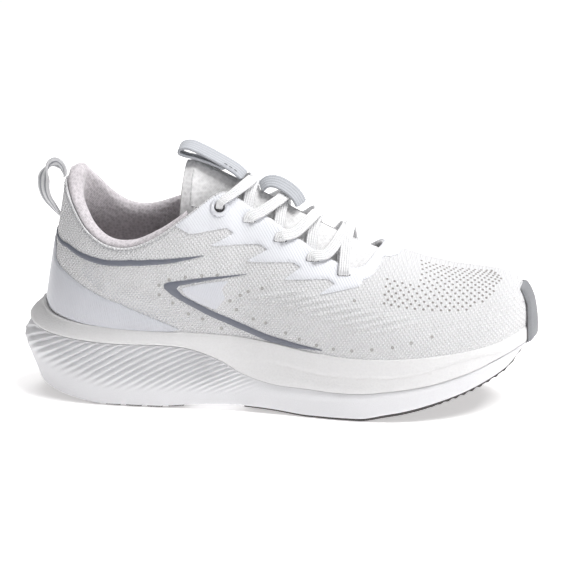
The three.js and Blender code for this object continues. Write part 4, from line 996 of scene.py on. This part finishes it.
def tongue_row(station, depth, cs):
    throat = max(station, 9.2)
    ks = np.where(cs < 0, throat, RING - throat)
    edge = edge_share(ks)
    start = edge - 0.17
    v = 1 - np.abs(cs) * (1 - start)
    settle = 3.2 * np.abs(cs) ** 3 * (1 - smooth(throat, 9, 12.5))
    low = skin(ks, v / edge, TONGUE_DEPTH + settle + depth)
    if station >= 9.2:
        return low
    t = (9.2 - station) / 5.2
    angle = cs * math.pi / 2.15
    top = np.tile(TONGUE_TOP, (len(cs), 1))
    top[:, 1] += (TONGUE_HALF - 0.35 * depth) * np.sin(angle)
    tilt = np.array([-0.05, 0, -1.0])
    top[:, 2] -= 3.0 + 5.0 * smooth(np.abs(cs), 0.55, 1.0)
    top += tilt * (TONGUE_WRAP * (1 - np.cos(angle)) + depth * np.cos(angle))[:, None]
    top[:, 0] -= 0.2 * depth * np.abs(np.sin(angle))
    squeeze = 1 - 0.35 * math.sin(math.pi * min(1.0, t * 1.2)) * np.abs(cs)
    mixed = low + (top - low) * t
    mixed[:, 1] = TONGUE_TOP[1] + (mixed[:, 1] - TONGUE_TOP[1]) * squeeze
    return mixed


tongue_cs = np.linspace(-1, 1, 49)
stations = np.linspace(4, 14.6, 110)
cover = np.array([tongue_row(s, 0.0, tongue_cs) for s in stations])
below = np.array([tongue_row(s, TONGUE_THICK, tongue_cs) for s in stations])
edge_in = smooth(1 - np.abs(tongue_cs), 0, 0.16)[None, :, None]
end_in = smooth(np.arange(110), 0, 7)[:, None, None]
full = 0.30 + 0.70 * np.minimum(edge_in, end_in)
middle = (cover + below) / 2
cover = middle + (cover - middle) * full
below = middle + (below - middle) * full
n, m = cover.shape[:2]
points = np.concatenate([cover.reshape(-1, 3), below.reshape(-1, 3)])
faces = quads(n, m).tolist() + quads(n, m, start=n * m)[:, ::-1].tolist()
slots = [0] * ((n - 1) * (m - 1)) + [1] * ((n - 1) * (m - 1))
side_walls = []
for j in range(m - 1):
    side_walls += [(j + 1, j), ((n - 1) * m + j, (n - 1) * m + j + 1)]
for i in range(n - 1):
    side_walls += [(i * m, (i + 1) * m), ((i + 1) * m + m - 1, i * m + m - 1)]
faces += [[a, b, b + n * m, a + n * m] for a, b in side_walls]
slots += [2] * (len(faces) - len(slots))
looks = [paint["tongue"], paint["lining"], paint["binding"]]
tongue = build("tongue_padding", points, faces, looks, weld=0, slots=slots)
firm = [i for i in range(n * m) if not (6 < i // m < 60 and 6 < i % m < m - 7)]
firm += [n * m + i for i in firm]
swell(tongue, firm, 3.0, 0.0010)
put(tongue, "tongue_shell", "tongue_foam", "tongue_lining", body="tongue", slot="knit")
rim_line, rim_under = (np.concatenate([face[60:7:-1, 5], face[7, 5:-5], face[7:61, -6]])
                       for face in (cover, below))
rim_out = unit(rim_line - rim_under)
rim_stitches = stitches("tongue_stitches", rim_line + rim_out * 0.12, rim_out, paint["thread_white"],
                        length=1.9, gap=0.8)
put(rim_stitches, body="tongue", slot="knit")

# ---- straps ----
WEBBING = 1.5


def strap_line(line, count, y, lean=0.0):
    centre = spline(np.array([[x * ALONG, y, z] for x, z in line], float), count)
    tangent = unit(np.gradient(centre, axis=0))
    normal = np.stack([-tangent[:, 2], 0 * tangent[:, 0], tangent[:, 0]], 1)
    lean = np.broadcast_to(np.radians(lean), (count,))[:, None]
    return centre, normal * np.cos(lean) + np.array([0, -1.0, 0]) * np.sin(lean)


PULL_TAB = [
    (112, 128.4), (104, 131.6), (96, 134), (90, 135.2), (86.4, 137), (87.2, 140), (92, 141), (99, 138.4),
    (107, 134.4), (114, 130.6), (119, 127.4), (122.5, 124)]
centre, normal = strap_line(PULL_TAB, 90, TONGUE_TOP[1], lean=6)
put(ribbon("pull_tab", centre, normal, 17, WEBBING, paint["webbing"]), "tongue_pull_tab",
    body="tongue", slot="webbing")
for row in (-1, 1):
    line = centre[70:86] + normal[70:86] * 0.8
    line[:, 1] += row * 6.6
    thread = stitches(f"pull_tab_stitches_{row + 2}", line, normal[70:86], paint["thread_grey"])
    put(thread, body="tongue", slot="webbing")

KEEPER = [(132.3, 118.4), (136, 121.4), (141.5, 121.4), (147.5, 118.4), (152.2, 114.2), (155, 109.4)]
centre, normal = strap_line(KEEPER, 70, 0, lean=30)
put(ribbon("keeper", centre, normal, 10, WEBBING, paint["webbing"]), "lace_keeper",
    body="tongue", slot="webbing")

LOOP = [
    (20.2, 121.5), (19.2, 126), (16, 128.8), (11.5, 127), (8.4, 121.5), (7.8, 114.5), (9.6, 108.6),
    (13.4, 103.5), (18, 97.5)]
along = np.linspace(0, 1, 100)
twist = (48 - 96 * smooth(along, 0.25, 0.55)) * np.sin(math.pi * along) ** 0.4
centre, normal = strap_line(LOOP, 100, 0, lean=twist)
loop = ribbon("heel_loop", centre, normal, 11, WEBBING, [paint["webbing_white"], paint["webbing_stripe"]],
              slots=lambda u: 1 if 0.28 < abs(u) < 0.62 else 0)
put(loop, "heel_pull_loop", body="heel_loop", slot="webbing")

# ---- lace: up one side and down the other, over the films, down through a hole, under and across ----
OVER = -(CLEAR + FILM_THICK + CLEAR + LACE_THICK / 2 + 0.1)
UNDER = KNIT + CLEAR + LACE_THICK / 2
RIDGE_UNDER = TONGUE_DEPTH - CLEAR - 0.65 - LACE_THICK / 2
RIDGE_OVER = RIDGE_UNDER - LACE_THICK - CLEAR - 0.2
CROSSING = [0.05, 0.08, 0.06, 0.1]  # share of the way from the lower row to the upper, over the ridge


def lace_step(k, w, depth, sign, width=LACE_WIDTH):
    point, normal = surface_at(k, w)
    return point - normal * depth, normal * sign, width


def ridge_step(k, share, depth, sign):
    throat = edge_share(np.array([k]))[0]
    return lace_step(k, (throat + (1 - throat) * share) / throat, depth, sign)


def lace_half(side):
    """The steps of one end of the lace, from the bar at the front to the tucked end under the eyelet."""
    steps = []
    first = side
    face = 1
    for row in range(4, -1, -1):
        k, point, normal, up_rib, _ = hole_frame(row, side)
        width = 4.2 if row == 0 else LACE_WIDTH
        out = RING_TOP + CLEAR + LACE_THICK / 2 if row == 0 else -OVER
        drift = 0 if row == 4 else side_k(LACE_RIBS[row + 1], side) - k
        steps.append(ridge_step(k + 0.8 * drift, 0.5, OVER + 0.2, face))
        steps.append(lace_step(k + 0.38 * drift, 1, (OVER - out) / 2, face, (width + LACE_WIDTH) / 2))
        steps.append((point + normal * (out + 0.3) + up_rib * 1.6, normal * face, width))
        steps.append((point + normal * (out - UNDER) / 2 - up_rib * 0.1, up_rib * -face, width))
        if row == 0:
            steps.append((point - normal * (UNDER + 0.6) - up_rib * 2, normal * face, width))
            break
        face = -face
        steps.append((point - normal * (UNDER + 0.2) + up_rib * 1.8, normal * face, width))
        ahead = side_k(LACE_RIBS[row - 1], side)
        steps.append(lace_step(k + (ahead - k) * 0.05, 1, UNDER, face))
        ridge = RIDGE_UNDER if first < 0 else RIDGE_OVER
        steps.append(ridge_step(k + (ahead - k) * 0.6 * CROSSING[row - 1], 0.5, (UNDER + ridge) / 2, face))
        steps.append(ridge_step(k + (ahead - k) * CROSSING[row - 1], 1, ridge, face))
        side = -side
        target, back = side_k(LACE_RIBS[row - 1], side), side_k(LACE_RIBS[row], side)
        steps.append(ridge_step(target + (back - target) * 0.92, 0.85, (ridge + OVER) / 2, face))
    return steps


bar = lace_step(LACE_RIBS[4], 1 / edge_share(np.array([LACE_RIBS[4]]))[0], OVER + 0.6, 1)
steps = lace_half(1)[::-1] + [bar] + lace_half(-1)
spots = np.array([s[0] for s in steps])
hang = np.array([s[1] for s in steps])
wide = np.array([s[2] for s in steps])
gaps = np.maximum(np.linalg.norm(np.diff(spots, axis=0), axis=1), 0.5) ** 0.5
knots = np.concatenate([[0], np.cumsum(gaps)])


STEPS_BETWEEN = 14


def between(s, low, high, a, b):
    return a * (high - s) / (high - low) + b * (s - low) / (high - low)


def centripetal(values, knots):
    """Centripetal Catmull-Rom (Barry and Goldman) through values at knots."""
    head, tail = 2 * values[0] - values[1], 2 * values[-1] - values[-2]
    p = np.concatenate([[head], values, [tail]])
    t = np.concatenate([[knots[0] - (knots[1] - knots[0])], knots, [knots[-1] + (knots[-1] - knots[-2])]])
    out = []
    for i in range(1, len(p) - 2):
        for s in np.linspace(t[i], t[i + 1], STEPS_BETWEEN, endpoint=False):
            a = [between(s, t[j], t[j + 1], p[j], p[j + 1]) for j in (i - 1, i, i + 1)]
            b = [between(s, t[i - 1 + j], t[i + 1 + j], a[j], a[j + 1]) for j in (0, 1)]
            out.append(between(s, t[i], t[i + 1], b[0], b[1]))
    out.append(p[-2])
    return np.array(out)


line = centripetal(spots, knots)
index = np.linspace(0, len(steps) - 1, len(line))
facing = resample(index, np.arange(len(steps)), hang)
width = np.interp(index, np.arange(len(steps)), wide)
lace = ribbon("lace", line, facing, width, LACE_THICK, paint["lace"], ribs=0.08)
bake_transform(lace)
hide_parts("shoelace")

# ---- sole ----
def wall_of(k, reach, z):
    row = row_at(k)
    flat = np.stack([row[..., 0], row[..., 1], 0 * row[..., 0]], -1)
    return flat + outward(k) * np.asarray(reach)[..., None] + UP * np.asarray(z)[..., None]


def ground(k):
    return np.maximum(0, row_at(k)[..., GROUND])


OUTSOLE = 3.0
RIM_LIP = 1.8
TREAD = 1.4


def base_wall(k):
    row = row_at(k)
    low = ground(k) + OUTSOLE
    lip = ground(k) + 0.9 + 0.9 * smooth(row[..., 0], 130, 250)
    drop = 0.5 * smooth(row[..., 0], 20, 70) * (1 - smooth(row[..., 0], 130, 190))
    bulge = np.maximum(low + 2.2, row[..., BULGE] + drop * (low + 2.2 - row[..., BULGE]))
    return np.stack([
        wall_of(k, row[..., GROUND_OUT] - 3, low), wall_of(k, row[..., GROUND_OUT] - 1.1, lip + 0.3),
        wall_of(k, row[..., GROUND_OUT] - 0.25, lip), wall_of(k, row[..., GROUND_OUT] + 0.35, lip + 1.6),
        wall_of(k, row[..., BULGE_OUT], bulge),
        wall_of(k, (row[..., BULGE_OUT] + row[..., LINE_OUT]) / 2 + 0.4, (bulge + row[..., LINE]) / 2),
        wall_of(k, row[..., LINE_OUT], row[..., LINE] - CLEAR)], -2)


FIN_PITCH = 6.3  # along the sole
FIN_LEAN = 1.7  # run for each unit of rise
FIN_DEPTH = 2.2


def fins(points, k):
    """Blades swept back and down the side of the heel, cut in under the upper foam's lower edge."""
    away = np.minimum(np.mod(k, RING), RING - np.mod(k, RING))
    walk = arc_length(away, 0.0)
    z = points[..., 2]
    row = row_at(k)
    low = 8.0 + 11.0 * (1 - smooth(walk, 8, 66))
    high = row[..., LINE] - 0.8
    lean = FIN_LEAN * smooth(walk, -30, 40) + 0.8 * smooth(walk, 60, 150)
    phase = (walk - lean * (z - 20)) / FIN_PITCH
    f = np.mod(phase, 1.0)
    blade = np.where(f < 0.72, smooth(f, 0.0, 0.72) ** 0.8, 1 - smooth(f, 0.72, 1.0))
    fade = smooth(z, low, low + 13) * (1 - smooth(z, high - 1.0, high + 0.3))
    fade = fade * (1 - smooth(walk, 112, 152)) * (0.3 + 0.7 * smooth(walk, 4, 34))
    return (blade * FIN_DEPTH - 0.62 * FIN_DEPTH) * fade


js = np.linspace(0, TOE, 820)
lateral_walls = spline(base_wall(js), 100)
medial_walls = spline(base_wall(RING - js), 100)
shaped = []
for walls, k in ((lateral_walls, js), (medial_walls, RING - js)):
    kk = np.broadcast_to(k[:, None], walls.shape[:2])
    shaped.append(walls + outward(kk) * fins(walls, kk)[..., None])
lateral_walls, medial_walls = shaped
across = np.linspace(0, 1, 14)[1:-1, None]


def bridge(a, b):
    return a[:, None] * (1 - across) + b[:, None] * across


over = bridge(lateral_walls[:, -1], medial_walls[:, -1])
below = bridge(medial_walls[:, 0], lateral_walls[:, 0])
rings = np.concatenate([lateral_walls, over, medial_walls[:, ::-1], below], 1)
put(loft("midsole_lower", rings, paint["foam_lower"], caps=False), "midsole_base", slot="midsole")

ks = np.arange(0, RING, 0.06)
row = row_at(ks)


def carrier_wall(k):
    row = row_at(k)
    band, rim = row[..., LINE], row[..., RIM_Z]
    return np.stack([
        wall_of(k, row[..., LINE_OUT] - 3.5, band - 0.2), wall_of(k, row[..., LINE_OUT] + 0.1, band),
        wall_of(k, row[..., LINE_OUT] + 0.75, band + 1.5),
        wall_of(k, row[..., LINE_OUT] * 0.62 + RIM_LIP * 0.38 + 0.6, band * 0.5 + rim * 0.5),
        wall_of(k, 0 * rim + RIM_LIP + 0.35, rim - 1.4), wall_of(k, 0 * rim + RIM_LIP - 0.2, rim - 0.1),
        wall_of(k, 0 * rim + 0.9, rim + 0.15)], -2)


walls = spline(carrier_wall(ks), 54)
x, z = walls[..., 0], walls[..., 2]
crease = 24.6 + 10.0 * smooth(x, 200, 262) ** 1.5 + 4.0 * (1 - smooth(x, 140, 176))
fade = smooth(x, 112, 150) * (1 - smooth(x, 262, 276))
under = crease - z
groove = -0.75 * np.exp(-(under / 0.7) ** 2) - 0.55 * smooth(under, 0, 1.2) * (1 - smooth(under, 3, 7))
walls = walls + outward(np.broadcast_to(ks[:, None], walls.shape[:2])) * (groove * fade)[..., None]
inner_low = skin(ks, np.zeros_like(ks), np.full_like(ks, -CLEAR))
inner_high = skin(ks, np.full_like(ks, 0.07), np.full_like(ks, -CLEAR))
floor_in = wall_of(ks, np.full_like(ks, -6.0), row[:, RIM_Z] - RIM_BITE)
tuck = wall_of(ks, row[:, LINE_OUT] - 9, row[:, LINE])
rings = np.concatenate([walls, inner_high[:, None], inner_low[:, None], floor_in[:, None], tuck[:, None]], 1)
put(loft("midsole_upper", rings, paint["foam_upper"], ring=True), "midsole_carrier", slot="midsole")


CUT_PITCH = 12.0  # along the sole


def tread(x, y, lugs):
    """How deep the tread is cut, from 0 to 1: cross grooves, and on the forefoot two long ones."""
    bend = 0.10 * np.abs(y) if lugs else 0.0
    f = np.abs(np.mod((x - bend) / CUT_PITCH + 0.5, 1.0) - 0.5) * CUT_PITCH
    cross = 1 - smooth(f, 0.9, 1.5)
    long = 1 - smooth(np.abs(np.abs(y) - 15 - 0.03 * (x - 190)), 0.8, 1.5) if lugs else 0 * x
    return np.maximum(cross, long)


def rubber(name, first, last, start, end, lugs):
    """The outsole between two ribs and between two shares of the way from the lateral to the medial edge."""
    inset = 0.6 if lugs else 1.15
    js = np.linspace(first, last, int((last - first) * 26))
    low_lat = wall_of(js, row_at(js)[:, GROUND_OUT] - inset, ground(js))
    low_med = wall_of(RING - js, row_at(RING - js)[:, GROUND_OUT] - inset, ground(js))
    share = np.linspace(start, end, 66)[None, :, None]
    plane = low_lat[:, None] * (1 - share) + low_med[:, None] * share
    x, y = plane[..., 0], plane[..., 1]
    rim = smooth(np.abs(2 * share[..., 0] - 1), 0.93, 0.98) if lugs else 0.0
    cut = tread(x, y, lugs) * (1 - rim)
    ridges = 0.18 * np.cos(2 * math.pi * x / 1.5) * (1 - cut) * (1 - rim)
    teeth = 0.45 * (1 + np.cos(2 * math.pi * x / 4.2)) * rim * smooth(x, 225, 250)
    bottom = plane + UP * (TREAD * cut + np.maximum(0, ridges + teeth))[..., None]
    top = plane + UP * (OUTSOLE - 0.1)
    return loft(name, np.concatenate([bottom, top[:, ::-1]], 1), paint["rubber"], crease=50)


for where, *place in (("forefoot", 9.1, 20.35, 0, 1, True), ("heel_lateral", 0.65, 7, 0, 0.44, False),
                      ("heel_medial", 0.65, 7, 0.56, 1, False)):
    put(rubber(f"rubber_{where}", *place), f"outsole_{where}", slot="rubber")

# ---- toe bumper ----
BUMPER_RIB = 0.9
BUMPER = 1.8
ks = np.linspace(TOE - BUMPER_RIB, TOE + BUMPER_RIB, 60)
row = row_at(ks)
edge = np.abs(ks - TOE) / BUMPER_RIB
bend = 1 - 0.22 * edge ** 2


def bumper_path(extra):
    foot = np.maximum(ground(ks) + OUTSOLE + 3, row[:, BULGE])
    return np.stack([
        wall_of(ks, row[:, BULGE_OUT] + CLEAR + 0.3 + extra, foot),
        wall_of(ks, row[:, LINE_OUT] + 1 + CLEAR + extra, row[:, LINE] + 1.5),
        wall_of(ks, RIM_LIP + CLEAR + 0.4 + extra, row[:, RIM_Z] + 0.6),
        skin(ks, 0.3 + 0 * ks, -CLEAR - 0.7 - extra), skin(ks, 0.3 + 0.14 * bend, -CLEAR - 0.3 - extra),
        skin(ks, 0.3 + 0.27 * bend, -CLEAR - extra)], 1)


t = np.linspace(0, 1, 40)
ends = np.minimum(smooth(t, -0.02, 0.09), 1 - smooth(t, 0.9, 1.02))
tips = 1 - smooth(edge, 0.86, 1.0) * 0.75
thick = BUMPER * np.minimum(ends[None], tips[:, None])[..., None]
face = spline(bumper_path(0), 40)
front = spline(bumper_path(BUMPER), 40)
rings = np.concatenate([face + unit(front - face) * np.maximum(thick, 0.25), face[:, ::-1]], 1)
put(loft("toe_guard", rings, paint["bumper"]), "toe_bumper", slot="bumper")

# ---- sockliner ----
js = np.linspace(0, TOE, 200)
reach = 6.2 + (4.0 - 6.2) * smooth(js, 7, 9)


def sock_edge(k):
    foot = skin(k, np.zeros_like(k), np.zeros_like(k))
    return foot - outward(k) * reach[:, None] + UP * (1.5 + CLEAR)


rounding = [(1.2, 0.0), (0.2, 0.6), (0.0, 2.2), (0.25, 3.6), (1.1, 4.4), (2.4, 4.7)]
lateral_side, medial_side = sock_edge(js), sock_edge(RING - js)
toward = unit(medial_side - lateral_side + np.array([0, 1e-6, 0]))
width = np.linalg.norm(medial_side - lateral_side, axis=1)[:, None]
left = np.stack([lateral_side + toward * np.minimum(a, width * 0.45) + UP * b for a, b in rounding], 1)
right = np.stack([medial_side - toward * np.minimum(a, width * 0.45) + UP * b for a, b in rounding], 1)
share = np.linspace(0, 1, 26)[1:-1, None]
dish = -0.9 * np.sin(np.linspace(0, math.pi, 26))[1:-1, None] * UP
top = left[:, -1][:, None] * (1 - share) + right[:, -1][:, None] * share + dish
bottom = right[:, 0][:, None] * (1 - share) + left[:, 0][:, None] * share
rings = np.concatenate([left, top, right[:, ::-1], bottom], 1)
put(loft("sockliner_pad", rings, paint["sock"], caps=False, weld=0), "sockliner", slot="lining")

# ---- pieces kept from the CAD ----
kept = {"heel_counter": "inner_plastic", "toe_puff": "inner_plastic", "strobel_board": "board",
        "aglet_lateral": "plastic", "aglet_medial": "plastic"}
for node, look in kept.items():
    mesh = nodes[node].data
    mesh.materials.clear()
    mesh.materials.append(paint[look])
    mesh.shade_smooth()
    mesh.set_sharp_from_angle(angle=math.radians(38))

# ---- floor, light ----
bpy.ops.mesh.primitive_plane_add(size=8, location=(0, 0, -0.0004))
floor = bpy.context.object
floor.name = "floor"
floor_paint = Paint("floor_white", (0.93, 0.925, 0.925), 0.9, drift=0.002, specular=0.1)
floor_paint.shader.inputs["Emission Color"].default_value = (1, 0.985, 0.985, 1)
floor_paint.shader.inputs["Emission Strength"].default_value = 0.5
floor.data.materials.append(floor_paint.done())

world = bpy.data.worlds.new("studio")
scene.world = world
world.use_nodes = True
world.node_tree.nodes["Background"].inputs["Color"].default_value = (1, 1, 1, 1)
world.node_tree.nodes["Background"].inputs["Strength"].default_value = 0.2


def softbox(name, place, aim, size, power):
    data = bpy.data.lights.new(name, "AREA")
    data.size = size
    data.energy = power
    lamp = bpy.data.objects.new(name, data)
    scene.collection.objects.link(lamp)
    direction = unit(np.array(aim, float) - np.array(place, float))
    side = unit(np.cross(direction, UP + np.array([0, 0.01, 0])))
    turn = Matrix(np.stack([side, np.cross(side, direction), -direction], 1).tolist()).to_4x4()
    turn.translation = place
    lamp.matrix_world = turn


softbox("key", (0.7, -0.1, 1.6), (0.05, 0, 0.05), 1.0, 36)
softbox("fill", (1.2, -0.9, 0.45), (0.08, 0, 0.05), 0.7, 2.0)
softbox("back", (-0.2, 1.1, 1.2), (0, 0, 0.05), 0.9, 8)

scene.view_settings.view_transform = "Standard"
scene.view_settings.look = "None"
